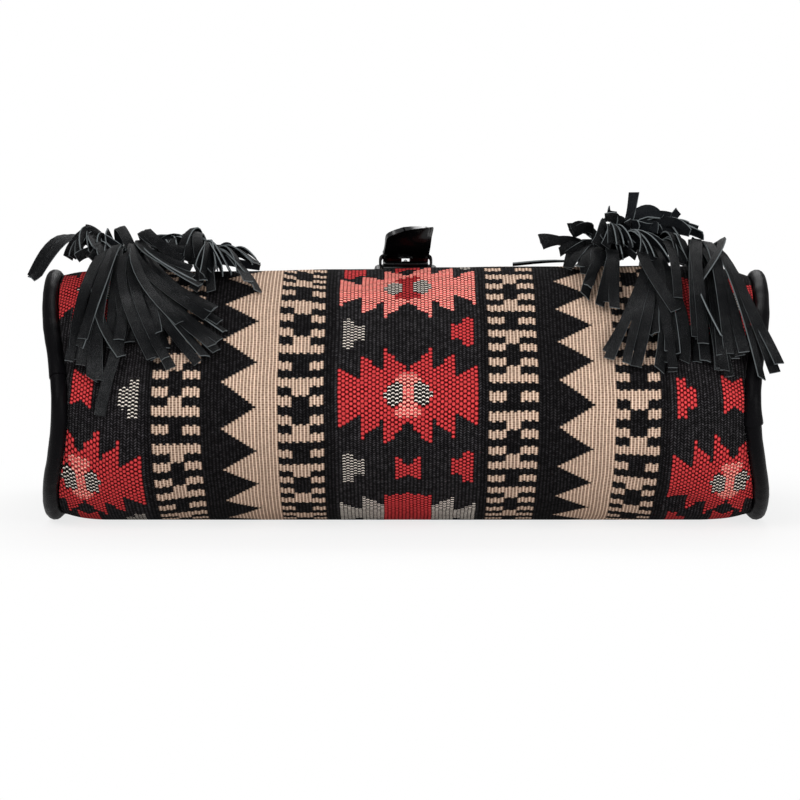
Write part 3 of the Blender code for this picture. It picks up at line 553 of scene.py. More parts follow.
def kilim_finish(weave):
    """The woven cloth: black ribs, tan columns, red knots and white dashes."""
    finish = Finish("kilim_weave")
    p = kilim_pattern(finish, weave)
    in_rib = abs(p.in_rib)
    rib_round = p.in_rib.wave()
    chance = finish.chance(p.k, p.pair)
    streak = finish.chance(p.k, 3.7)
    fuzz = finish.noise(finish.vector(p.across, p.along), 2.6, 2.0, 0.7)

    # Black: a twisted rib whose strands lean across it. Its colour has painted highlights on the
    # rib's middle and on its strands and painted shade in its grooves; the same amounts give relief
    lumps = finish.noise(finish.vector(p.across * 0.7, p.along * 1.6), 1.0, 2.0, 0.6)
    lean = 1.0 - p.k.wrap(2.0) * 2.0
    twist = (p.along * 0.72 + p.in_rib * lean * 0.9 + streak * 3.0 + lumps).wave()
    strand = finish.chance(p.k, (p.along * 0.72 + streak * 3.0).floor())
    black_height_and_painted_light = (rib_round * 0.6 + 0.4) * (twist * 0.72 + 0.28)
    black_height_and_painted_light = black_height_and_painted_light * (strand * 0.6 + lumps * 0.5 + 0.4)
    # Tan: upright stitches, with painted shade towards their sides and a darker painted shade
    # in a hole between rows in each gap
    gap = in_rib.rising(0.0, 0.30)
    hole = p.in_row.wave() * ((p.rows * 0.5 + p.ribs.floor() * 0.5).wave() * 0.4 + 0.6)
    tan_height_and_painted_shade = 1.0 - gap * (hole * 0.62 + 0.54)
    # Red: rounded knots, staggered, with painted shade in the gaps round them and a painted
    # highlight towards one side of each knot
    rounded = in_rib * in_rib * 3.6 + p.in_pair * p.in_pair * 6.2
    knot = 1.28 - rounded * (chance * 0.6 + 0.72) - (p.in_rib + p.in_pair) * 0.28
    red_height_and_painted_light = (knot * (fuzz * 0.5 + 0.75)).clamped()
    # White: arched dashes as wide as a rib, a third of a dash higher on every other rib
    dashes = p.along / DASH_PITCH + p.k.wrap(2.0) * 0.36
    dash_row = (dashes + 0.5).floor()
    dash_y = dashes - dash_row + in_rib * in_rib * 1.1 - 0.12
    thin = abs(dash_y) + p.dashed_black * 0.04
    dash = (1.0 - thin.rising(0.10, 0.25)) * (1.0 - in_rib.rising(0.34, 0.48) * 0.9)
    dash = dash * p.dashed_black.most(p.pink * 0.85)
    dash = dash * (finish.chance(p.k, dash_row + 0.5) * 0.35 + 0.8).least(1.0)

    # The black's tone carries the ribs' painted highlights and painted shade
    black_tone = (black_height_and_painted_light * black_height_and_painted_light + 0.02) * (fuzz * 1.1 + 0.45)
    black_tone = black_tone * (1.0 - p.k.above(FIELD_END) * 0.45) * (1.0 - p.dashed_black * 0.5)
    black = finish.scaled(tuple(weave.black), black_tone)
    fibre = finish.noise(finish.vector(p.across * 3.1, p.along * 1.3), 1.0, 2.0, 0.8)
    stray = fibre.rising(0.66, 0.78)
    black = finish.mixed(stray * 0.18, black, (0.16, 0.155, 0.155))
    # The tan's colour in the gaps: painted shade
    tan_painted_shade = shaded(weave.tan, (0.13, 0.095, 0.07))
    tan = finish.mixed((tan_height_and_painted_shade * (fuzz * 0.5 + 0.72)).clamped(), tan_painted_shade, tuple(weave.tan))
    tan = finish.scaled(tan, streak * 0.12 + chance * 0.16 + 0.84)
    # The red's colour in the gaps round the knots: painted shade
    red_painted_shade = shaded(weave.red, (0.06, 0.012, 0.02))
    red_tone = red_height_and_painted_light * (chance * 0.35 + 0.74) * (1.0 - p.dark * 0.35)
    red = finish.mixed(red_tone.clamped(), red_painted_shade, tuple(weave.red))
    rose = tuple(channel * 0.90 + 0.10 * light for channel, light in zip(weave.red, weave.white))
    # Pink knots turn rose, most where their painted highlight is
    red = finish.mixed(p.pink * red_height_and_painted_light * 0.6, red, rose)
    colour = finish.mixed(p.tan, black, tan)
    colour = finish.mixed(p.red, colour, red)
    blush = finish.mixed(p.pink, tuple(weave.white), (1.0, 0.46, 0.36))
    white = finish.scaled(blush, (fuzz * 0.45 + 0.95) * (p.grey * 0.4 + 1.0))
    colour = finish.mixed(dash, colour, white)
    faded = finish.noise(finish.vector(p.across * 0.012, p.along * 0.012), 1.0, 3.0)
    colour = finish.scaled(colour, faded * 0.24 + 0.88)
    high = black_height_and_painted_light.otherwise(tan_height_and_painted_shade * 0.8 + 0.1, p.tan)
    high = high.otherwise(red_height_and_painted_light * 1.15, p.red).otherwise(dash * 0.2 + 0.9, dash)
    high = high + fuzz * 0.25
    finish.set(Base_Color=colour, Roughness=0.95, Specular_IOR_Level=0.04)
    finish.relief(high, weave.relief)
    return finish.material


def leather_finish(name, colour, roughness, grain, depth, specular, wear=0.0, creases=0.0):
    """Grained leather, a little lighter and rougher in its high places."""
    finish = Finish(name)
    place = finish.object_place()
    pebbles = finish.cells(place, 1 / grain)
    pores = finish.noise(place, 2.2 / grain, 3.0, 0.6)
    patches = finish.noise(place, 28.0, 3.0, 0.55)
    shade = patches * 0.5 + pores * 0.3 + 0.6
    tone = finish.scaled(colour, shade)
    if wear:
        specks = finish.noise(place, 3.4 / grain, 2.0, 0.8)
        rubbed = (patches * 0.35 + specks).rising(0.72, 0.92) * wear
        light = tuple(channel * 3 + 0.12 for channel in colour)
        tone = finish.mixed(rubbed, tone, light)
    finish.set(Base_Color=tone, Roughness=pores * 0.22 + patches * 0.10 + (roughness - 0.16))
    finish.set(Specular_IOR_Level=specular)
    height = pebbles * -1.0 + pores * 0.5
    if creases:
        height = height + finish.noise(place, 140.0, 3.0, 0.6) * creases
    finish.relief(height, depth)
    return finish.material


def plain_finish(name, colour, roughness, metallic=0.0, scale=400.0, specular=0.5):
    """A finish with a fine, even texture: metal, thread, edge paint or a cut edge."""
    finish = Finish(name)
    place = finish.object_place()
    fine = finish.noise(place, scale, 3.0, 0.6)
    broad = finish.noise(place, scale * 0.07, 2.0)
    finish.set(Base_Color=finish.scaled(colour, fine * 0.3 + broad * 0.4 + 0.65))
    finish.set(Roughness=fine * 0.16 + broad * 0.16 + (roughness - 0.16), Metallic=metallic)
    finish.set(Specular_IOR_Level=specular)
    finish.relief(fine, 0.05 * MM)
    return finish.material


def cotton_finish():
    """Plain-woven lining cotton."""
    finish = Finish("lining_cotton")
    place = finish.node("ShaderNodeSeparateXYZ", Vector=finish.object_place())
    threads = 1600.0
    x, y, z = (Amount(finish.tree, place.outputs[axis]) * threads for axis in "XYZ")
    woven = (x + z).wave(0.5) * 0.5 + (y - z).wave(0.5) * 0.5
    cloudy = finish.noise(finish.object_place(), 30.0)
    finish.set(Base_Color=finish.scaled((0.05, 0.042, 0.038), woven * 0.5 + cloudy + 0.3))
    finish.set(Roughness=0.9, Specular_IOR_Level=0.15)
    finish.relief(woven, 0.15 * MM)
    return finish.material


finishes = {}


def make_finishes(scene):
    """Every finish, made once."""
    leather = scene.saddle_leather
    trim, fringe = tuple(leather.trim), tuple(leather.fringe)
    finishes["kilim"] = kilim_finish(scene.saddle_weave)
    finishes["lining"] = cotton_finish()
    # Name, colour, roughness, share of the grain's size, depth in millimetres, specular, wear
    # and creases
    leathers = {
        # The trim's faces take the trim colour 2.6 times as light: painted light for dimly lit
        # faces
        "trim": ("black_leather", shaded(trim, 2.6), 0.44, 1.0, 0.14, 0.17, 0.0, 5.0),
        "piping": ("piping_leather", trim, 0.36, 0.8, 0.14, 0.04),
        # The strap takes the trim colour at 0.4: painted shade
        "strap": ("strap_leather", shaded(trim, 0.4), 0.20, 0.6, 0.03, 0.2),
        "fringe": ("fringe_leather", fringe, 0.60, 0.55, 0.26, 0.05, 1.0),
        "suede": ("suede_back", shaded(fringe, 2.6), 0.9, 0.4, 0.08, 0.05, 0.4),
    }
    for key, (name, colour, roughness, grain, depth, *rest) in leathers.items():
        finishes[key] = leather_finish(
            name, colour, roughness, leather.grain * grain, depth * MM, *rest
        )
    cut, thread = tuple(leather.cut_edge), tuple(leather.thread)
    finishes["cut_edge"] = plain_finish("cut_leather_edge", cut, 0.85, scale=900, specular=0.2)
    finishes["edge_paint"] = plain_finish("edge_paint", (0.012, 0.012, 0.013), 0.22)
    finishes["thread"] = plain_finish("waxed_thread", thread, 0.5, scale=3000, specular=0.4)
    finishes["metal"] = plain_finish("dark_metal", (0.09, 0.09, 0.095), 0.28, 1.0, scale=700)


# Modelling steps that several pieces share


def deselect():
    bpy.ops.object.select_all(action="DESELECT")


def select_only(obj):
    deselect()
    obj.select_set(True)
    bpy.context.view_layer.objects.active = obj


def new_object(name, data):
    made = bpy.data.objects.new(name, data)
    bpy.context.scene.collection.objects.link(made)
    return made


def copy_of(model):
    """A copy with a mesh of its own."""
    made = model.copy()
    made.data = model.data.copy()
    bpy.context.scene.collection.objects.link(made)
    return made


@contextlib.contextmanager
def editing(piece):
    """Edit mode with the whole piece selected."""
    select_only(piece)
    bpy.ops.object.mode_set(mode="EDIT")
    bpy.ops.mesh.select_all(action="SELECT")
    yield
    bpy.ops.object.mode_set(mode="OBJECT")


def apply_modifiers(obj):
    select_only(obj)
    for modifier in list(obj.modifiers):
        bpy.ops.object.modifier_apply(modifier=modifier.name)


def coat(obj, *keys):
    """Gives an object these finishes and no others."""
    obj.data.materials.clear()
    for key in keys:
        obj.data.materials.append(finishes[key])


def named(obj, name, *keys):
    """The object, with this name for it and its data, and these finishes."""
    obj.name = name
    obj.data.name = name
    coat(obj, *keys)
    return obj


def read_places(mesh):
    places = np.empty(len(mesh.vertices) * 3)
    mesh.vertices.foreach_get("co", places)
    return places.reshape(-1, 3)


def write_places(mesh, places):
    mesh.vertices.foreach_set("co", np.ascontiguousarray(places, np.float32).ravel())
    mesh.update()


def grid(name, columns, rows, *keys):
    """A grid primitive, and where each vertex lies across and along it, from 0 to 1."""
    deselect()
    bpy.ops.mesh.primitive_grid_add(x_subdivisions=columns, y_subdivisions=rows, size=1)
    piece = named(bpy.context.object, name, *keys)
    flat = read_places(piece.data)
    return piece, flat[:, 0] + 0.5, flat[:, 1] + 0.5


def thicken(piece, thickness, offset=-1.0, rim_material=0, back_material=0, even=True):
    """Gives a sheet its thickness. An offset of -1 is inwards, 1 outwards and 0 both ways."""
    modifier = piece.modifiers.new("thickness", "SOLIDIFY")
    modifier.thickness = thickness
    modifier.offset = offset
    modifier.use_even_offset = even
    modifier.material_offset = back_material
    modifier.material_offset_rim = rim_material
    apply_modifiers(piece)


def smooth(piece, angle):
    select_only(piece)
    bpy.ops.object.shade_smooth_by_angle(angle=math.radians(angle))


def cloth_map(piece, across, along):
    """A UV map in metres of cloth, from each vertex's place on the flat sheet."""
    mesh = piece.data
    while mesh.uv_layers:
        mesh.uv_layers.remove(mesh.uv_layers[0])
    layer = mesh.uv_layers.new(name="cloth")
    corners = np.empty(len(mesh.loops), np.int32)
    mesh.loops.foreach_get("vertex_index", corners)
    flat = np.stack([across[corners], along[corners]], axis=1)
    layer.uv.foreach_set("vector", flat.astype(np.float32).ravel())


def joined(pieces, name):
    """Several objects as one mesh, which keeps the first one's materials."""
    deselect()
    for piece in pieces:
        piece.select_set(True)
    bpy.context.view_layer.objects.active = pieces[0]
    bpy.ops.object.join()
    made = bpy.context.object
    made.name = name
    made.data.name = name
    return made


def tube(name, places, radius, key):
    """A round cord through the places, as a mesh with closed ends."""
    data = bpy.data.curves.new(name, "CURVE")
    data.dimensions = "3D"
    data.bevel_depth = radius
    data.bevel_resolution = 5
    data.use_fill_caps = True
    spline = data.splines.new("POLY")
    spline.points.add(len(places) - 1)
    for point, place in zip(spline.points, places):
        point.co = (*place, 1.0)
    select_only(new_object(name, data))
    bpy.ops.object.convert(target="MESH")
    made = bpy.context.object
    with editing(made):
        bpy.ops.mesh.remove_doubles(threshold=0.01 * MM)
        bpy.ops.mesh.normals_make_consistent(inside=False)
    named(made, name, key)
    smooth(made, 50)
    return made


def stand_in(piece, node):
    """The piece takes a node's place on the bag."""
    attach(piece, "bag")
    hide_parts(node)


def wander(x, y, z=0.0):
    """Smooth noise between -1 and 1."""
    return noise.noise(Vector((x, y, z)))


# Operators: the stage

LAMP_AIM = Vector((0.0, -0.05, 0.07))
CAMERA_AIM = Vector((-3.2 * MM, KEEL[0], 72.6 * MM))
SHADOW_NEAR, SHADOW_FAR = 0.16, 0.34
SHADOW_DEPTH = 0.22
# The floor glows at least this share for every ray, and so lights the bag from below
FLOOR_GLOW = 0.28


class SADDLE_OT_stage(bpy.types.Operator):
    """Adds the pale floor, the soft boxes and the camera"""

    bl_idname = "saddle.stage"
    bl_label = "Stage"

    def execute(self, context):
        settings = context.scene.saddle_stage
        context.scene.view_settings.view_transform = "Standard"
        self.add_room(context.scene, settings)
        self.add_floor()
        self.add_lamp("key", (-0.75, -1.25, 1.35), 1.1, settings.key)
        self.add_lamp("fill", (0.95, -1.25, 0.35), 0.9, settings.fill)
        self.add_lamp("rim", (0.1, 0.9, 1.1), 0.9, settings.fill)
        self.add_camera(context.scene, settings)
        return {"FINISHED"}

    def add_room(self, scene, settings):
        """Even white light, dimmer in reflections, and a pure white background."""
        world = bpy.data.worlds.new("room")
        scene.world = world
        world.use_nodes = True
        tree = world.node_tree
        rays = tree.nodes.new("ShaderNodeLightPath")
        seen = Amount(tree, rays.outputs["Is Camera Ray"])
        seen = seen.most(Amount(tree, rays.outputs["Is Transmission Ray"]))
        shiny = Amount(tree, rays.outputs["Is Glossy Ray"])
        strength = seen.most((1.0 - shiny * 0.4) * settings.ambient)
        background = tree.nodes["Background"]
        background.inputs["Color"].default_value = (1.0, 1.0, 1.0, 1.0)
        tree.links.new(strength.socket, background.inputs["Strength"])

    def add_floor(self):
        """A white floor that keeps a faint shadow close to the bag, is pure white beyond and glows
        onto the bag.
        """
        deselect()
        bpy.ops.mesh.primitive_plane_add(size=8.0)
        floor = named(bpy.context.object, "floor")
        finish = Finish("floor_white")
        tree = finish.tree
        flat = finish.node("ShaderNodeSeparateXYZ", Vector=finish.object_place())
        x, y = (Amount(tree, flat.outputs[axis]) for axis in "XY")
        away = (x * x * 0.6 + y * y).math("SQRT")
        near = 1.0 - away.rising(SHADOW_NEAR, SHADOW_FAR)
        rays = finish.node("ShaderNodeLightPath")
        seen = Amount(tree, rays.outputs["Is Camera Ray"])
        share = (seen * (1.0 - near * SHADOW_DEPTH)).most(FLOOR_GLOW)
        matt = finish.node("ShaderNodeBsdfDiffuse", Color=(0.86, 0.86, 0.86, 1.0))
        glow = finish.node("ShaderNodeEmission", Color=(1.0, 1.0, 1.0, 1.0), Strength=1.0)
        mix = tree.nodes.new("ShaderNodeMixShader")
        finish.feed(mix.inputs[0], share)
        tree.links.new(matt.outputs[0], mix.inputs[1])
        tree.links.new(glow.outputs[0], mix.inputs[2])
        output = tree.nodes["Material Output"]
        tree.links.new(mix.outputs[0], output.inputs["Surface"])
        tree.nodes.remove(finish.shader)
        floor.data.materials.append(finish.material)

    def add_lamp(self, name, place, size, power):
        """A square soft box that faces the bag."""
        bpy.ops.object.light_add(type="AREA", location=place)
        lamp = bpy.context.object
        lamp.name = name
        lamp.data.shape = "SQUARE"
        lamp.data.size = size
        lamp.data.energy = power
        aim = LAMP_AIM - Vector(place)
        lamp.rotation_euler = aim.to_track_quat("-Z", "Y").to_euler()

    def add_camera(self, scene, settings):
        """The camera stands in front of the bottom edge, a little above the floor."""
        back = Vector((0.0, -math.cos(settings.elevation), math.sin(settings.elevation)))
        place = CAMERA_AIM + back * settings.distance
        bpy.ops.object.camera_add(location=place)
        camera = bpy.context.object
        camera.rotation_euler = (-back).to_track_quat("-Z", "Y").to_euler()
        camera.data.lens = settings.lens
        camera.data.clip_start = 0.05
        scene.camera = camera


# Operators: the sewn body

BODY_COLUMNS = 130
BODY_ROWS = 206
SEAM_INSET = 2 * PIPING_RADIUS + 0.5 * MM
NARROWING_START = 120 * MM
NARROWING = 1.77
PIPING_GAP = 0.1 * MM
DENT_X, DENT_ARC = 150 * MM, -72 * MM
PRONG_TIP_ALONG = 31 * MM


def cloth_across(x):
    """How far across the flat cloth a place at this x is: the ends are drawn in."""
    beyond = np.maximum(np.abs(x) - NARROWING_START, 0.0)
    return np.sign(x) * (np.abs(x) + NARROWING * beyond**2)


def body_lift(x, arc):
    """How far the cloth stands off the plain section.

    It has a crown, drawn-in seams, puckers, a dent at the lower right and a dip under the prong.
    """
    half = half_width(arc) - SEAM_INSET
    to_seam = np.maximum(half - np.abs(x), 0.0)
    sink = -3.6 * MM * np.exp(-((to_seam / (9 * MM)) ** 1.3))
    crown = 1.2 * MM * (1 - (x / half) ** 4) * np.exp(-((arc / (150 * MM)) ** 2))
    pucker = np.empty_like(x)
    for index, (px, pa) in enumerate(zip(x, arc)):
        seam = math.exp(-(to_seam[index] / (16 * MM)) ** 2)
        broad = wander(px * 14, pa * 17, 3.0) * 1.1 + wander(px * 37, pa * 30, 9.0) * 0.45
        fold = wander(math.copysign(5.0, px), pa * 95, to_seam[index] * 12) * 1.5 * seam
        pucker[index] = (broad * 0.7 + fold) * MM
    dent_x = (x - DENT_X) / (17 * MM)
    dent_arc = (arc - DENT_ARC + (x - DENT_X) * 0.5) / (8 * MM)
    dent = -3.0 * MM * np.exp(-dent_x**2 - dent_arc**2)
    upper = ramp_up(arc, 60, 50) * ramp_down(arc, 165, 40)
    tilt = 0.016 * x * upper * (1 - (x / half) ** 4)
    held = np.minimum(1.0, np.minimum(arc - BACK_ARC, FRONT_ARC - arc) / (30 * MM))
    resting = ramp_up(read_table(SECTION, arc)[:, 1], 0, 12)
    past_prong = arc - SHOULDER_ARC - PRONG_TIP_ALONG
    under_prong = (past_prong / (9 * MM)) ** 2 + (x / (9 * MM)) ** 2
    lift = sink + (crown + pucker + dent + tilt) * held - 0.9 * MM * np.exp(-under_prong)
    return np.where(resting < 1.0, np.minimum(lift, lift * resting), lift)


class SADDLE_OT_body(bpy.types.Operator):
    """Adds the kilim sheet that makes the front, the bottom and the back"""

    bl_idname = "saddle.body"
    bl_label = "Kilim body"

    def execute(self, context):
        piece, s, t = grid("kilim", BODY_COLUMNS, BODY_ROWS, "kilim")
        arc = BACK_ARC + (FRONT_ARC - BACK_ARC) * t
        half = half_width(arc) - SEAM_INSET
        x = (2 * s - 1) * half
        write_places(piece.data, on_bag(x, arc, body_lift(x, arc)))
        cloth_map(piece, self.pattern_across(x, arc), self.pattern_along(x, arc))
        thicken(piece, KILIM - 0.4 * MM)
        smooth(piece, 60)
        stand_in(piece, "kilim_body")
        return {"FINISHED"}

    def pattern_across(self, x, arc):
        """The end columns lean inwards as they rise."""
        lean = 3 * MM * ramp_up(x, 130, 20) * ramp_up(arc, -30, 60)
        lean -= 0.09 * ramp_up(-x, 130, 20) * np.clip(arc + 10 * MM, -30 * MM, 40 * MM)
        return cloth_across(x) + lean

    def pattern_along(self, x, arc):
        """The weave's rows run askew, and are drawn down at the ends and up at the top left."""
        askew = np.clip(x * 0.06, -4 * MM, 2 * MM) * ramp_up(arc, 45, 60)
        askew += 0.022 * x * ramp_down(np.abs(x), 100, 40) * ramp_down(np.abs(arc), 75, 40)
        end = ramp_up(np.abs(x), np.where(x > 0, 95, 75), 60)
        down = 18 * MM * end * ramp_down(arc, -15.5, 75) * ramp_up(arc, -230, 100)
        up = 14.4 * MM * ramp_up(-x, 30, 25) * ramp_up(arc, 25, 90) * ramp_down(arc, 200, 80)
        up += 6 * MM * ramp_up(-x, 155, 25) * ramp_up(arc, -60, 40)
        field = 12.6 * MM * ramp_down(x, 5, 35) * ramp_up(x, -70, 20)
        field *= ramp_up(arc, 80, 18) * ramp_down(arc, 200, 80)
        return arc - askew + down - up + field


class SADDLE_OT_piping(bpy.types.Operator):
    """Adds the leather piping round both end seams"""

    bl_idname = "saddle.piping"
    bl_label = "Piping"

    def execute(self, context):
        for (name, side), joint in zip(SIDES, (18 * MM, -12 * MM)):
            self.add_length("front", name, side, FRONT_ARC, joint + PIPING_GAP / 2)
            self.add_length("back", name, side, joint - PIPING_GAP / 2, BACK_ARC)
        return {"FINISHED"}

    def add_length(self, part, name, side, start, end):
        """One length of the cord, whose end is at the joint for the front ones."""
        steps = round(abs(end - start) / (2.2 * MM))
        arc = np.linspace(start, end, steps)
        x = side * (half_width(arc) - PIPING_RADIUS)
        places = on_bag(x, arc, -PIPING_RADIUS)
        piece = tube(f"piping_{part}_{name}_cord", places, PIPING_RADIUS, "piping")
        swell = (0.9 if side > 0 else 0.4) * MM if part == "front" else 0.0
        self.pucker(piece, places, side, swell * np.exp(-(((arc - end) / (8 * MM)) ** 2)))
        stand_in(piece, f"piping_{part}_{name}")

    def pucker(self, piece, line, side, fuller):
        """Small gathers in the leather, deepest on the seam side, and a fuller end at the joint."""
        places = read_places(piece.data)
        nearest = np.array([np.argmin(((line - place) ** 2).sum(1)) for place in places])
        out = places - line[nearest]
        length = np.linalg.norm(out, axis=1)
        out = out / np.maximum(length, 1e-9)[:, None]
        for index, place in enumerate(places):
            inner = max(0.0, -side * out[index][0])
            gather = wander(place[0] * 40, place[1] * 170, place[2] * 170)
            lump = wander(place[0] * 60, place[1] * 60, place[2] * 60 + 7)
            ripple = (gather * (0.14 + 0.4 * inner) + lump * 0.22) * MM
            places[index] += out[index] * (ripple + fuller[nearest[index]])
        places[:, 2] = np.maximum(places[:, 2], 0.1 * MM)
        write_places(piece.data, places)


# Operators: the leather trim

FLAP_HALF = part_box("flap_binding")[1].x
FLAP_EDGE = 60 * MM
FLAP_END = 177.1 * MM
FLAP_CORNER = 24.5 * MM
FLAP_HIGH = 4.3 * MM
BINDING_HIGH = 5.8 * MM
BAND_HIGH = 7.9 * MM
BAND_START = 155 * MM
EDGE_LEATHER = 1.2 * MM
EDGE_DEPTH = 12 * MM
THREAD_RADIUS = 0.38 * MM
STITCH_SLANT = 0.12
LINING_PANEL_AREA = 0.033


def from_node(node, name, key="trim", bevel=0.35 * MM, levels=0, cuts=0):
    """A copy of a node's mesh with its doubles merged, its edges rounded and its faces finer.

    Levels below 0 make the faces finer without rounding them.
    """
    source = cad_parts[node]
    piece = named(new_object(name, source.data.copy()), name, key)
    piece.data.transform(source.matrix_world)
    with editing(piece):
        bpy.ops.mesh.remove_doubles(threshold=0.005 * MM)
        bpy.ops.mesh.tris_convert_to_quads(face_threshold=0.7, shape_threshold=0.7)
        if cuts:
            bpy.ops.mesh.subdivide(number_cuts=cuts)
    if bevel:
        rounding = piece.modifiers.new("rounding", "BEVEL")
        rounding.width = bevel
        rounding.segments = 2
        rounding.limit_method = "ANGLE"
        rounding.angle_limit = math.radians(35)
    if levels:
        finer = piece.modifiers.new("finer", "SUBSURF")
        finer.subdivision_type = "SIMPLE" if levels < 0 else "CATMULL_CLARK"
        finer.levels = finer.render_levels = abs(levels)
    apply_modifiers(piece)
    smooth(piece, 45)
    return piece


def crumple(piece, depth, size):
    """Soft dents along the normals. The depth is one number, or one for each vertex."""
    mesh = piece.data
    places = read_places(mesh)
    normals = np.array([vertex.normal for vertex in mesh.vertices])
    depths = np.broadcast_to(depth, len(places))
    for index, (x, y, z) in enumerate(places):
        dent = wander(x / size, y / size, z / size) + 0.4 * wander(
            x / size * 2.3, y / size * 2.3, z / size * 2.3 + 4
        )
        places[index] += normals[index] * dent * depths[index]
    places[:, 2] = np.maximum(places[:, 2], 0.0)
    write_places(mesh, places)


def stitch_model():
    """One stitch: a thread a metre long and two metres across, to be laid along a seam."""
    deselect()
    bpy.ops.mesh.primitive_uv_sphere_add(segments=6, ring_count=5, radius=1.0)
    model = named(bpy.context.object, "stitch", "thread")
    with editing(model):
        bpy.ops.transform.resize(value=(1.0, 1.0, 0.5))
    smooth(model, 80)
    return model


def sew(name, seams, length=2.9 * MM, pitch=3.9 * MM):
    """Stitches along seams. A seam is its places and the direction out of the leather there."""
    model = stitch_model()
    flat = read_places(model.data)
    stitches = []
    for places, out in seams:
        places = np.asarray(places, float)
        run = run_along(places)
        count = max(2, round(run[-1] / pitch))
        for index in range(count):
            middle = (index + 0.5) * run[-1] / count
            start, end = read_at([middle - length / 2, middle + length / 2], run, places)
            along = (end - start) / np.linalg.norm(end - start)
            normal = np.asarray(out(middle / run[-1]) if callable(out) else out, float)
            normal = normal - along * np.dot(normal, along)
            normal /= np.linalg.norm(normal)
            side = np.cross(along, normal)
            slanted = along * math.cos(STITCH_SLANT) + side * math.sin(STITCH_SLANT)
            stitch = copy_of(model)
            laid = (start + end) / 2 + normal * THREAD_RADIUS * 0.25
            laid = laid + np.outer(flat[:, 2] * length, slanted)
            laid += np.outer(flat[:, 0] * THREAD_RADIUS, side)
            laid += np.outer(flat[:, 1] * THREAD_RADIUS, normal)
            write_places(stitch.data, laid)
            stitches.append(stitch)
    bpy.data.objects.remove(model)
    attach(joined(stitches, name), "bag")


def front_seam(points, height):
    """A seam on the front's plane, through (x, along) points, and the front's normal."""
    points = np.array(points)
    return on_front(points[:, 0], points[:, 1], height), (0.0, *read_table(NORMALS, FRONT_ARC))


class SADDLE_OT_lining(bpy.types.Operator):
    """Adds the cotton bag inside"""

    bl_idname = "saddle.lining"
    bl_label = "Lining"

    def execute(self, context):
        piece = from_node("lining", "lining_bag", "lining", bevel=0.0, cuts=1)
        self.slacken(piece)
        stand_in(piece, "lining")
        width = 2 * (HALF_WIDTH - 2 * PIPING_RADIUS)
        length = FRONT_ARC - BACK_ARC - 2 * EDGE_DEPTH
        area = width * length + 2 * LINING_PANEL_AREA
        return {"FINISHED"}

    def slacken(self, piece):
        """The cotton hangs a few millimetres clear of the kilim."""
        middle = np.array((0.0, 0.0, 62 * MM))
        places = read_places(piece.data) - middle
        write_places(piece.data, middle + places * (0.975, 0.975, 0.94))


class SADDLE_OT_gussets(bpy.types.Operator):
    """Adds the leather end panels and the leather folded over their open edges"""

    bl_idname = "saddle.gussets"
    bl_label = "Gussets"

    def execute(self, context):
        for name, side in SIDES:
            panel = from_node(
                f"gusset_{name}", f"gusset_panel_{name}", bevel=0.0, levels=-1, cuts=1
            )
            crumple(panel, 0.35 * MM, 24 * MM)
            stand_in(panel, f"gusset_{name}")
            edge = from_node(f"gusset_binding_{name}", f"gusset_edge_{name}", cuts=3)
            crumple(edge, 0.12 * MM, 9 * MM)
            stand_in(edge, f"gusset_binding_{name}")
            low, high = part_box(f"gusset_binding_{name}")
            x = low.x if side < 0 else high.x
            line = self.edge_line(x, low, high)
            sew(f"gusset_stitches_{name}", [(line, (side, 0.0, 0.0))])
        return {"FINISHED"}

    def edge_line(self, x, low, high):
        """A line on the binding's outer face, from the back up to the front."""
        drop = 3.6 * MM
        bottom = np.array((x, low.y + 7.5 * MM - drop, low.z + 4 * MM))
        top = np.array((x, high.y - 1.5 * MM - drop, high.z - 4 * MM))
        return [bottom + (top - bottom) * share for share in np.linspace(0, 1, 8)]


class SADDLE_OT_flap(bpy.types.Operator):
    """Adds the kilim flap with the leather folded over its edge"""

    bl_idname = "saddle.flap"
    bl_label = "Flap"

    def execute(self, context):
        edge = from_node("flap_binding", "flap_edge", cuts=2)
        crumple(edge, 0.10 * MM, 12 * MM)
        stand_in(edge, "flap_binding")
        self.add_cloth()
        self.add_stitches()
        return {"FINISHED"}

    def add_cloth(self):
        """Kilim, which sags a little between its bound edges."""
        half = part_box("flap")[1].x
        start = FLAP_EDGE + EDGE_LEATHER + 0.3 * MM
        piece, s, t = grid("flap_cloth", 96, 40, "kilim")
        along = start + (FLAP_END - start) * t
        into = np.clip((start + FLAP_CORNER - along) / FLAP_CORNER, 0.0, 1.0)
        wide = half - FLAP_CORNER * (1 - np.sqrt(1 - into**2))
        x = (2 * s - 1) * wide
        places = on_front(x, along, FLAP_HIGH)
        sag = np.array([wander(a * 16, b * 19, 5.0) for a, b in zip(x, along)])
        bound = np.minimum(np.minimum(wide - np.abs(x), along - start), FLAP_END - along)
        free = ramp_up(bound - EDGE_DEPTH, 0, 18)
        places[:, 2] += (sag * 0.9 - 0.4) * free * MM
        write_places(piece.data, places)
        cloth_map(piece, x, along + SHOULDER_ARC)
        thicken(piece, KILIM - 0.3 * MM)
        smooth(piece, 60)
        stand_in(piece, "flap")

    def add_stitches(self):
        """One row along the binding, down one side of the flap and up the other."""
        inset = EDGE_DEPTH - 2.2 * MM
        side = FLAP_HALF - inset
        low = FLAP_EDGE + inset
        bend = 17 * MM
        turn = [math.radians(angle) for angle in range(180, 271, 15)]
        left = [(-side + bend * (1 + math.cos(a)), low + bend * (1 + math.sin(a))) for a in turn]
        outline = [(-side, BAND_START - MM), *left]
        outline += [(-x, along) for x, along in reversed(outline)]
        sew("flap_stitches", [front_seam(outline, BINDING_HIGH)])


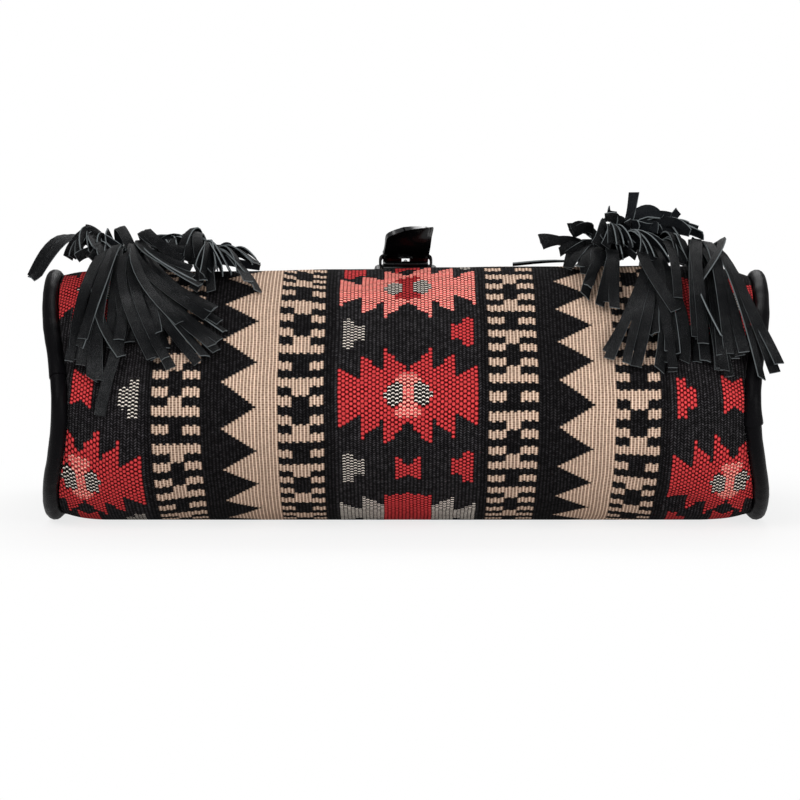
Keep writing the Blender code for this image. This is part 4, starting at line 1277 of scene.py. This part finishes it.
class SADDLE_OT_top_band(bpy.types.Operator):
    """Adds the leather band round the mouth, and the leather on the front panel's edge"""

    bl_idname = "saddle.top_band"
    bl_label = "Top band"

    def execute(self, context):
        band = from_node("top_band", "top_band_leather", levels=1, cuts=3)
        low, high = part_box("top_band")
        behind = ramp_up(read_places(band.data)[:, 1] - high.y, -5, 4)
        crumple(band, (0.2 + 0.3 * behind) * MM, 30 * MM)
        stand_in(band, "top_band")
        edge = from_node("mouth_binding", "mouth_edge", cuts=2)
        stand_in(edge, "mouth_binding")
        half = FLAP_HALF - 3 * MM
        rows = [
            front_seam([(-half, BAND_START + gap), (half, BAND_START + gap)], BAND_HIGH)
            for gap in (2.5 * MM, 6.5 * MM)
        ]
        rows += [self.end_seam(band, x) for x in (low.x + 4 * MM, high.x - 4 * MM)]
        sew("band_stitches", rows)
        return {"FINISHED"}

    def end_seam(self, band, x):
        """A seam near an end of the band, round the mouth's corner and down its back."""
        low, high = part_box("top_band")
        faces = BVHTree.FromPolygons(
            [vertex.co for vertex in band.data.vertices],
            [face.vertices for face in band.data.polygons],
        )
        middle = Vector((x, high.y - 15 * MM, (low.z + high.z) / 2))
        places = []
        normals = []
        for angle in np.radians(np.linspace(100, -68, 60)):
            out = Vector((0.0, math.cos(angle), math.sin(angle)))
            place, normal, _, _ = faces.ray_cast(middle + out * 0.3, -out)
            if place:
                places.append(place)
                normals.append(normal)
        return places, lambda share: read_line(np.array(normals), share)


# Operators: the clasp

STRAP_HALF = 13 * MM
STRAP_LEATHER = 2.4 * MM
TIP_CURL = 15 * MM
TIP_TURN = math.radians(64)
TIP_LENGTH = 5 * MM
STRAP_TWIST = math.radians(23)
TIP_LEAN = 4.4 * MM
STRAP_STEPS = 130
SLOT_RADIUS = 2.3 * MM
SLOT_REACH = 6.7 * MM

# In millimetres: along and height, and for the slots their lean in radians too

SLOTS = ((35.5, 10.3, -0.21), (80.0, 7.3, 0.0))
STRAP_LINE = (
    (108, 7.30), (100, 7.30), (90, 7.30), (80, 7.30), (70, 7.30), (63, 7.30), (59, 7.1),
    (55.5, 6.70), (51.3, 6.30), (47, 6.75), (42, 8.3), (37, 10.0), (32, 10.9), (27, 10.6),
    (25, 10.2), (22, 9.5), (18, 9.1), (13.5, 8.95), (11.5, 8.95),
)


def strap_stations():
    """Along, height, roll, lean to the right, and how wide the left and right halves are."""
    rows = [(along, height, 0.0, 0.0, 1.0, 1.0) for along, height in STRAP_LINE]
    start_along, start_height = STRAP_LINE[-1]
    for step in range(1, 13):
        share = step / 12
        angle = TIP_TURN * share
        rows.append((
            start_along - TIP_CURL / MM * math.sin(angle),
            start_height + 0.1 + TIP_CURL / MM * (1 - math.cos(angle)),
            STRAP_TWIST * share / 2, TIP_LEAN * share / 2, 1.0, 1.0,
        ))
    tip_along, tip_height = rows[-1][:2]
    for step in range(1, 15):
        share = math.sin(math.pi / 2 * step / 14)
        rows.append((
            tip_along - TIP_LENGTH / MM * share * math.cos(TIP_TURN),
            tip_height + TIP_LENGTH / MM * share * math.sin(TIP_TURN),
            STRAP_TWIST * (1 + share) / 2, TIP_LEAN * (1 + share) / 2,
            math.sqrt(1 - (share * 0.94) ** 3), math.sqrt(1 - (share * 0.8) ** 12),
        ))
    return np.array(rows)


class SADDLE_OT_clasp(bpy.types.Operator):
    """Adds the strap, its keeper and the buckle's leather, and finishes the metal pieces"""

    bl_idname = "saddle.clasp"
    bl_label = "Clasp"

    def execute(self, context):
        self.add_strap()
        keeper = from_node("strap_keeper", "keeper_loop", "strap", bevel=0.6 * MM, levels=1)
        stand_in(keeper, "strap_keeper")
        chape = from_node("buckle_chape", "chape_leather", "strap")
        stand_in(chape, "buckle_chape")
        for node in ("buckle_frame", "buckle_prong", "strap_ring_left", "strap_ring_right"):
            coat(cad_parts[node], "metal")
        side = STRAP_HALF - 2.4 * MM
        high = 8.5 * MM
        box = [(-side, 106 * MM), (side, 106 * MM), (side, 66 * MM), (-side, 66 * MM)]
        pairs = ((0, 1), (1, 2), (2, 3), (3, 0), (0, 2), (1, 3))
        seams = [front_seam([box[start], box[end]], high) for start, end in pairs]
        sew("strap_stitches", seams, length=2.4 * MM, pitch=3.3 * MM)
        return {"FINISHED"}

    def add_strap(self):
        """A strap with painted edges and a creased line along each of them."""
        stations = strap_stations()
        lines = np.array(
            (0, 0.035, 0.075, 0.10, 0.125, 0.3, 0.5, 0.7, 0.875, 0.90, 0.925, 0.965, 1)
        )
        creased = np.array((0, 0, -0.1, -0.3, -0.1, 0, 0, 0, -0.1, -0.3, -0.1, 0, 0)) * MM
        columns = len(lines) - 1
        piece, s, t = grid("strap", columns, STRAP_STEPS, "strap", "edge_paint")
        line = stations[:, :2]
        run = run_along(line)
        at = run[-1] * t
        along, height, roll, lean, left, right = read_at(at, run, stations).T
        step = 0.4
        ahead = (read_at(at + step, run, line) - read_at(at - step, run, line)).T
        ahead /= np.linalg.norm(ahead, axis=0)
        out_along, out_height = ahead[1], -ahead[0]
        column = np.rint(s * columns).astype(int)
        narrow = np.where(column * 2 < columns, left, right)
        across = (2 * lines[column] - 1) * STRAP_HALF * narrow
        lift = STRAP_LEATHER / 2 + creased[column] * np.clip(narrow * 3 - 1.4, 0.0, 1.0)
        x = lean + across * np.cos(roll) - lift * np.sin(roll)
        up = lift * np.cos(roll) + across * np.sin(roll)
        places = on_front(x, along * MM + out_along * up, height * MM + out_height * up)
        write_places(piece.data, places)
        thicken(piece, STRAP_LEATHER, rim_material=1, even=False)
        for along, height, lean in SLOTS:
            self.cut_slot(piece, along * MM, height * MM, lean)
        smooth(piece, 50)
        stand_in(piece, "closure_strap")

    def cut_slot(self, strap, along, height, lean):
        """A slot with round ends, cut square through the strap."""
        deselect()
        bpy.ops.mesh.primitive_cylinder_add(vertices=24, radius=SLOT_RADIUS, depth=12 * MM)
        cutter = bpy.context.object
        places = read_places(cutter.data)
        places[:, 1] += np.sign(places[:, 1].round(6)) * SLOT_REACH
        turned = places[:, 1] * math.cos(lean) - places[:, 2] * math.sin(lean)
        raised = places[:, 1] * math.sin(lean) + places[:, 2] * math.cos(lean)
        write_places(cutter.data, on_front(places[:, 0], along + turned, height + raised))
        difference = strap.modifiers.new("slot", "BOOLEAN")
        difference.object = cutter
        difference.solver = "EXACT"
        apply_modifiers(strap)
        bpy.data.objects.remove(cutter)


class SADDLE_OT_ring_tabs(bpy.types.Operator):
    """Adds the leather tabs that hold the rings at the bag's ends"""

    bl_idname = "saddle.ring_tabs"
    bl_label = "Ring tabs"

    def execute(self, context):
        for name, side in SIDES:
            tab = from_node(f"ring_tab_{name}", f"ring_holder_{name}", "strap")
            stand_in(tab, f"ring_tab_{name}")
            low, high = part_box(f"ring_tab_{name}")
            x = side * (abs(high.x if side > 0 else low.x) - 2.4 * MM)
            seams = []
            for y in (low.y + 2.5 * MM, low.y + 15 * MM):
                line = [(x, y, low.z + 2.5 * MM), (x, y, high.z - 2.5 * MM)]
                seams.append((line, (side, 0.0, 0.0)))
            sew(f"ring_stitches_{name}", seams, length=2.2 * MM, pitch=3.0 * MM)
        return {"FINISHED"}


ROLL_RADIUS = 4.3 * MM
ROLL_GROWTH = 2.5 * MM
ROLL_LENGTH = 15.6 * MM
ROLL_ALONG = 22 * MM


def collar_x(name):
    """The middle of a tassel's collar."""
    low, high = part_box(f"tassel_collar_{name}")
    return (low.x + high.x) / 2


class SADDLE_OT_collars(bpy.types.Operator):
    """Adds the thongs and the rolled collars that hold the tassels"""

    bl_idname = "saddle.collars"
    bl_label = "Tassel collars"

    def execute(self, context):
        for name in TASSEL_NAMES:
            thong = from_node(f"tassel_tab_{name}", f"tassel_thong_{name}", levels=1)
            stand_in(thong, f"tassel_tab_{name}")
            self.add_roll(name, collar_x(name))
        return {"FINISHED"}

    def add_roll(self, name, x):
        """A strip of leather rolled up twice, whose free edge shows along the roll."""
        piece, s, t = grid(f"tassel_roll_{name}", 44, 10, "trim", "cut_edge")
        angle = 2 * math.pi * (0.6 + 2.15 * s)
        swell = 1 + 0.05 * np.sin(math.pi * t)
        radius = (ROLL_RADIUS + ROLL_GROWTH * s) * swell
        along = ROLL_ALONG + (t - 0.5) * ROLL_LENGTH
        places = on_front(x + radius * np.cos(angle), along, NECK_LIFT + radius * np.sin(angle))
        write_places(piece.data, places)
        thicken(piece, 1.0 * MM, offset=1.0, rim_material=1)
        smooth(piece, 50)
        stand_in(piece, f"tassel_collar_{name}")


# Operators: the tassels

# Each tassel's strips in locks: how many, the place they are led through, the first and the last
# tip, and the turn of the tips in degrees. Places are x, arc and lift in millimetres.

LOCKS = {
    "left_outer": (
        (4, (-160, 105, 20), (-170, 36, 8), (-171, 17, 4), 0),
        (2, (-172, 92, 14), (-178, 25, 4), (-175, 19, 3), 6),
        (2, (-166, 90, 14), (-163, 8, 4), (-167, 14, 3), -6),
        (1, (-179, 60, 10), (-150, 24, 7), (-150, 24, 7), 10),
        (4, (-158, 90, 12), (-157, 30, 3), (-148, 37, 3), 0),
        (2, (-187, 122, 30), (-208, 97, 3), (-208, 85, 1), 15),
        (6, (-182, 118, 26), (-190, 108, 6), (-170, 102, 13), 60),
        (1, (-166, 128, 44), (-151, 108, 9), (-151, 108, 9), -10),
        (2, (-150, 138, 30), (-100, 138, 15), (-105, 133, 12), 85),
        (1, (-172, 128, 26), (-182, 126, 25), (-182, 126, 25), 80),
        (8, (-174, 118, 26), (-188, 114, 15), (-158, 110, 9), 85),
        (6, (-170, 110, 18), (-182, 102, 9), (-152, 100, 7), 70),
        (3, (-148, 122, 20), (-122, 122, 15), (-126, 118, 13), 85),
    ),
    "left_middle": (
        (4, (-166, 92, 20), (-137, 26, 6), (-121, 20, 4), 0),
        (5, (-164, 88, 16), (-113, 21, 4), (-96, 34, 4), 0),
        (4, (-162, 90, 18), (-95, 43, 5), (-104, 58, 7), 5),
        (4, (-160, 96, 24), (-110, 70, 9), (-118, 87, 12), 12),
        (2, (-166, 92, 24), (-124, 46, 10), (-108, 41, 8), 0),
        (1, (-141, 72, 10), (-161, -5, 3), (-161, -5, 3), 0),
        (2, (-160, 104, 32), (-126, 98, 14), (-120, 92, 13), -20),
        (4, (-150, 90, 10), (-142, 40, 3), (-126, 34, 3), 0),
        (6, (-128, 118, 22), (-112, 114, 14), (-132, 106, 9), 80),
    ),
    "left_inner": (
        (7, (-108, 108, 20), (-114, 82, 11), (-95, 88, 8), 70),
        (3, (-118, 126, 34), (-125, 98, 8), (-113, 100, 9), 5),
        (4, (-98, 112, 16), (-90, 92, 6), (-79, 74, 3), 35),
        (1, (-100, 138, 10), (-83, 139, 5), (-83, 139, 5), 75),
        (4, (-112, 100, 12), (-118, 76, 5), (-102, 76, 4), 15),
        (7, (-126, 118, 22), (-146, 114, 12), (-116, 104, 8), 85),
        (3, (-96, 118, 14), (-82, 108, 6), (-88, 98, 6), 50),
        (2, (-118, 116, 22), (-118, 100, 8), (-112, 98, 7), 0),
        (1, (-104, 120, 16), (-97, 122, 12), (-97, 122, 12), 85),
    ),
    "right_inner": (
        (1, (127, 120, 20), (129, 122, 45), (129, 122, 45), 95),
        (2, (121, 122, 24), (117, 128, 39), (112, 126, 31), 80),
        (1, (140, 122, 20), (155, 126, 34), (155, 126, 34), 60),
        (3, (128, 120, 40), (150, 122, 29), (138, 118, 31), 85),
        (2, (98, 124, 24), (73, 122, 16), (78, 120, 15), 85),
        (3, (106, 120, 29), (91, 122, 24), (96, 120, 21), 85),
        (3, (104, 112, 20), (86, 112, 10), (92, 108, 8), 85),
        (9, (128, 118, 30), (110, 114, 28), (160, 112, 20), 88),
        (9, (124, 114, 24), (100, 108, 18), (152, 106, 14), 85),
        (6, (116, 112, 18), (92, 112, 14), (130, 104, 9), 80),
        (7, (116, 112, 34), (105, 104, 16), (130, 106, 15), 50),
        (3, (140, 118, 46), (150, 116, 18), (159, 110, 12), 40),
        (4, (108, 106, 17), (102, 88, 6), (94, 68, 4), 5),
        (3, (115, 102, 18), (104, 65, 6), (113, 60, 6), 0),
        (4, (132, 108, 30), (127, 94, 15), (146, 90, 13), 40),
        (5, (142, 116, 30), (156, 112, 26), (166, 108, 18), 80),
        (4, (96, 112, 14), (88, 100, 5), (100, 92, 6), 10),
        (1, (86, 122, 6), (60, 119, 4), (60, 119, 4), 0),
    ),
    "right_middle": (
        (4, (138, 98, 16), (106, 26, 4), (122, 18, 4), 0),
        (4, (138, 96, 18), (133, 22, 5), (141, 14, 4), 0),
        (1, (121, 96, 22), (143, 51, 11), (143, 51, 11), 0),
        (1, (146, 98, 22), (146, 60, 12), (146, 60, 12), 0),
        (3, (142, 95, 14), (148, 16, 4), (139, 31, 5), 0),
        (4, (134, 92, 10), (124, 40, 3), (138, 36, 3), 0),
        (4, (150, 104, 28), (158, 92, 16), (148, 84, 12), 20),
    ),
    "right_outer": (
        (3, (156, 104, 30), (151, 34, 8), (158, 31, 7), 0),
        (4, (164, 96, 16), (160, 17, 4), (174, 10, 4), 0),
        (3, (166, 100, 24), (168, 26, 7), (182, 27, 5), 8),
        (3, (172, 98, 22), (186, 13, 3), (198, 18, 2), 10),
        (1, (187, 100, 30), (155, 66, 13), (155, 66, 13), -15),
        (1, (148, 80, 16), (167, 34, 10), (167, 34, 10), 80),
        (4, (162, 92, 10), (150, 24, 3), (177, 24, 3), 0),
    ),
}
NECK_ARC = SHOULDER_ARC + 13.5 * MM
NECK_LIFT = 7.3 * MM
NECK_RADIUS = 5.0 * MM
STRIP_STEPS = 14

# How much chance moves a tip and the place that a strip is led through, in millimetres, and turns
# a tip, in degrees

TIP_SPREAD = (1.2, 2.2, 0.6)
LEAD_SPREAD = (1.5, 2.5, 1.5)
TURN_SPREAD = 15

# The strips of a lock lie in turn in layers, this many millimetres over the cloth

LAYERS = tuple(1.8 + 1.5 * layer for layer in (0, 2, 4, 1, 3))


def strip_line(root, via, tip, lowest):
    """Places along a strip from its collar, the directions, and the cloth's normals there."""
    t = np.linspace(0.0, 1.0, 4 * STRIP_STEPS + 1)[:, None]
    s = 1 - t
    lead = tip + (via - tip) * 0.3
    spot = s**3 * root + 3 * s * s * t * via + 3 * s * t * t * lead + t**3 * tip
    spot[:, 2] = np.maximum(spot[:, 2], lowest)
    line = on_bag(spot[:, 0], spot[:, 1], spot[:, 2])
    raised = on_bag(spot[:, 0], spot[:, 1], spot[:, 2] + MM)
    along = np.gradient(line, axis=0)
    along /= np.linalg.norm(along, axis=1)[:, None]
    return line, along, (raised - line) / MM


def strip_normals(along, outward):
    """The strip's own normals: they turn as little as they can, and towards the cloth's."""
    normals = [outward[0]]
    for direction, out in zip(along, outward):
        pull = out - direction * np.dot(out, direction)
        normal = normals[-1] - direction * np.dot(normals[-1], direction) + pull * 0.35
        normals.append(normal / np.linalg.norm(normal))
    return np.array(normals[1:])


class SADDLE_OT_tassels(bpy.types.Operator):
    """Adds the cut leather strips of the six tassels"""

    bl_idname = "saddle.tassels"
    bl_label = "Tassel strips"

    def execute(self, context):
        settings = context.scene.saddle_tassels
        chance = random.Random(settings.seed)
        model = self.make_strip(settings.strip_leather)
        for name in TASSEL_NAMES:
            centre = collar_x(name)
            strips = []
            for lock in LOCKS[name]:
                strips += self.lay_lock(model, centre, lock, settings.strip_width, chance)
            piece = joined(strips, f"tassel_fringe_{name}")
            smooth(piece, 50)
            stand_in(piece, f"tassel_strips_{name}")
        bpy.data.objects.remove(model)
        return {"FINISHED"}

    def make_strip(self, leather):
        """One strip, a metre square, to be laid along each line."""
        piece, across, along = grid("strip", 2, STRIP_STEPS, "fringe", "cut_edge", "suede")
        write_places(piece.data, np.stack([across - 0.5, along, along * 0], axis=1))
        thicken(piece, leather, offset=0.0, rim_material=1, back_material=2)
        return piece

    def lay_lock(self, model, centre, lock, width, chance):
        """The strips of one lock, whose tips fan out from the first to the last."""
        count, via, first, last, turn = lock
        strips = []
        for index in range(count):
            share = (index + 0.5) / count
            tip = np.array(first) + (np.array(last) - first) * share
            tip = tip + [chance.gauss(0, spread) for spread in TIP_SPREAD] * np.array(count > 1)
            led = np.array(via) + [chance.gauss(0, spread) for spread in LEAD_SPREAD]
            angle = chance.uniform(0.0, 2 * math.pi)
            reach = NECK_RADIUS * math.sqrt(chance.random())
            root = np.array((
                centre + reach * math.cos(angle), NECK_ARC, NECK_LIFT + reach * math.sin(angle)
            ))
            lowest = LAYERS[index % len(LAYERS)] * MM
            wide = width * chance.uniform(0.84, 1.12)
            turned = math.radians(turn + chance.gauss(0, TURN_SPREAD))
            strip = self.lay_strip(model, (root, led * MM, tip * MM), lowest, wide, turned, chance)
            strips.append(strip)
        return strips

    def lay_strip(self, model, route, lowest, width, turn, chance):
        """One strip along its route, with a slanted end, a twist, a cup and a bend."""
        strip = copy_of(model)
        line, along, outward = strip_line(*route, lowest)
        normal = strip_normals(along, outward)
        flat = read_places(model.data)
        across, share, thick = flat[:, 0], flat[:, 1], flat[:, 2]
        slant = chance.gauss(0, 0.16) + (chance.random() < 0.12) * 0.8
        length = np.linalg.norm(np.diff(line, axis=0), axis=1).sum()
        share = share - (across + 0.5) * slant * share**6 * width / length
        start_turn = chance.uniform(-1.2, 1.2)
        angle = (start_turn * (1 - share) ** 3 + turn * np.minimum(share * 2.4, 1.0))[:, None]
        middle, out, ahead = (read_line(table, share) for table in (line, normal, along))
        side = np.cross(ahead, out)
        turned_side = side * np.cos(angle) + out * np.sin(angle)
        turned_out = out * np.cos(angle) - side * np.sin(angle)
        cup = chance.uniform(-0.06, 0.16) * width * (1 - 4 * across**2)
        bend = chance.gauss(0, 0.22) * width * np.sin(math.pi * share * chance.uniform(1.2, 2.4))
        places = middle + turned_side * (across * width + bend)[:, None]
        places += turned_out * (thick + cup)[:, None]
        write_places(strip.data, places)
        return strip


SETTINGS = {
    "saddle_weave": SADDLE_PG_weave, "saddle_leather": SADDLE_PG_leather,
    "saddle_tassels": SADDLE_PG_tassels, "saddle_stage": SADDLE_PG_stage,
}
OPERATORS = [
    SADDLE_OT_stage, SADDLE_OT_body, SADDLE_OT_lining, SADDLE_OT_gussets, SADDLE_OT_piping,
    SADDLE_OT_flap, SADDLE_OT_top_band, SADDLE_OT_clasp, SADDLE_OT_ring_tabs,
    SADDLE_OT_collars, SADDLE_OT_tassels,
]


class SADDLE_PT_panel(bpy.types.Panel):
    """Lists the bag's pieces, in the order in which they are made"""

    bl_idname = "SADDLE_PT_panel"
    bl_label = "Kilim saddle bag"
    bl_space_type = "VIEW_3D"
    bl_region_type = "UI"
    bl_category = "Saddle bag"

    def draw(self, context):
        for operator in OPERATORS:
            self.layout.operator(operator.bl_idname)


CLASSES = [*SETTINGS.values(), *OPERATORS, SADDLE_PT_panel]


def register():
    for made in CLASSES:
        bpy.utils.register_class(made)
    for name, group in SETTINGS.items():
        setattr(bpy.types.Scene, name, PointerProperty(type=group))


def unregister():
    for name in SETTINGS:
        delattr(bpy.types.Scene, name)
    for made in reversed(CLASSES):
        bpy.utils.unregister_class(made)


def main():
    register()
    make_finishes(bpy.context.scene)
    for operator in OPERATORS:
        group, name = operator.bl_idname.split(".")
        getattr(getattr(bpy.ops, group), name)()


if __name__ == "__main__":
    main()
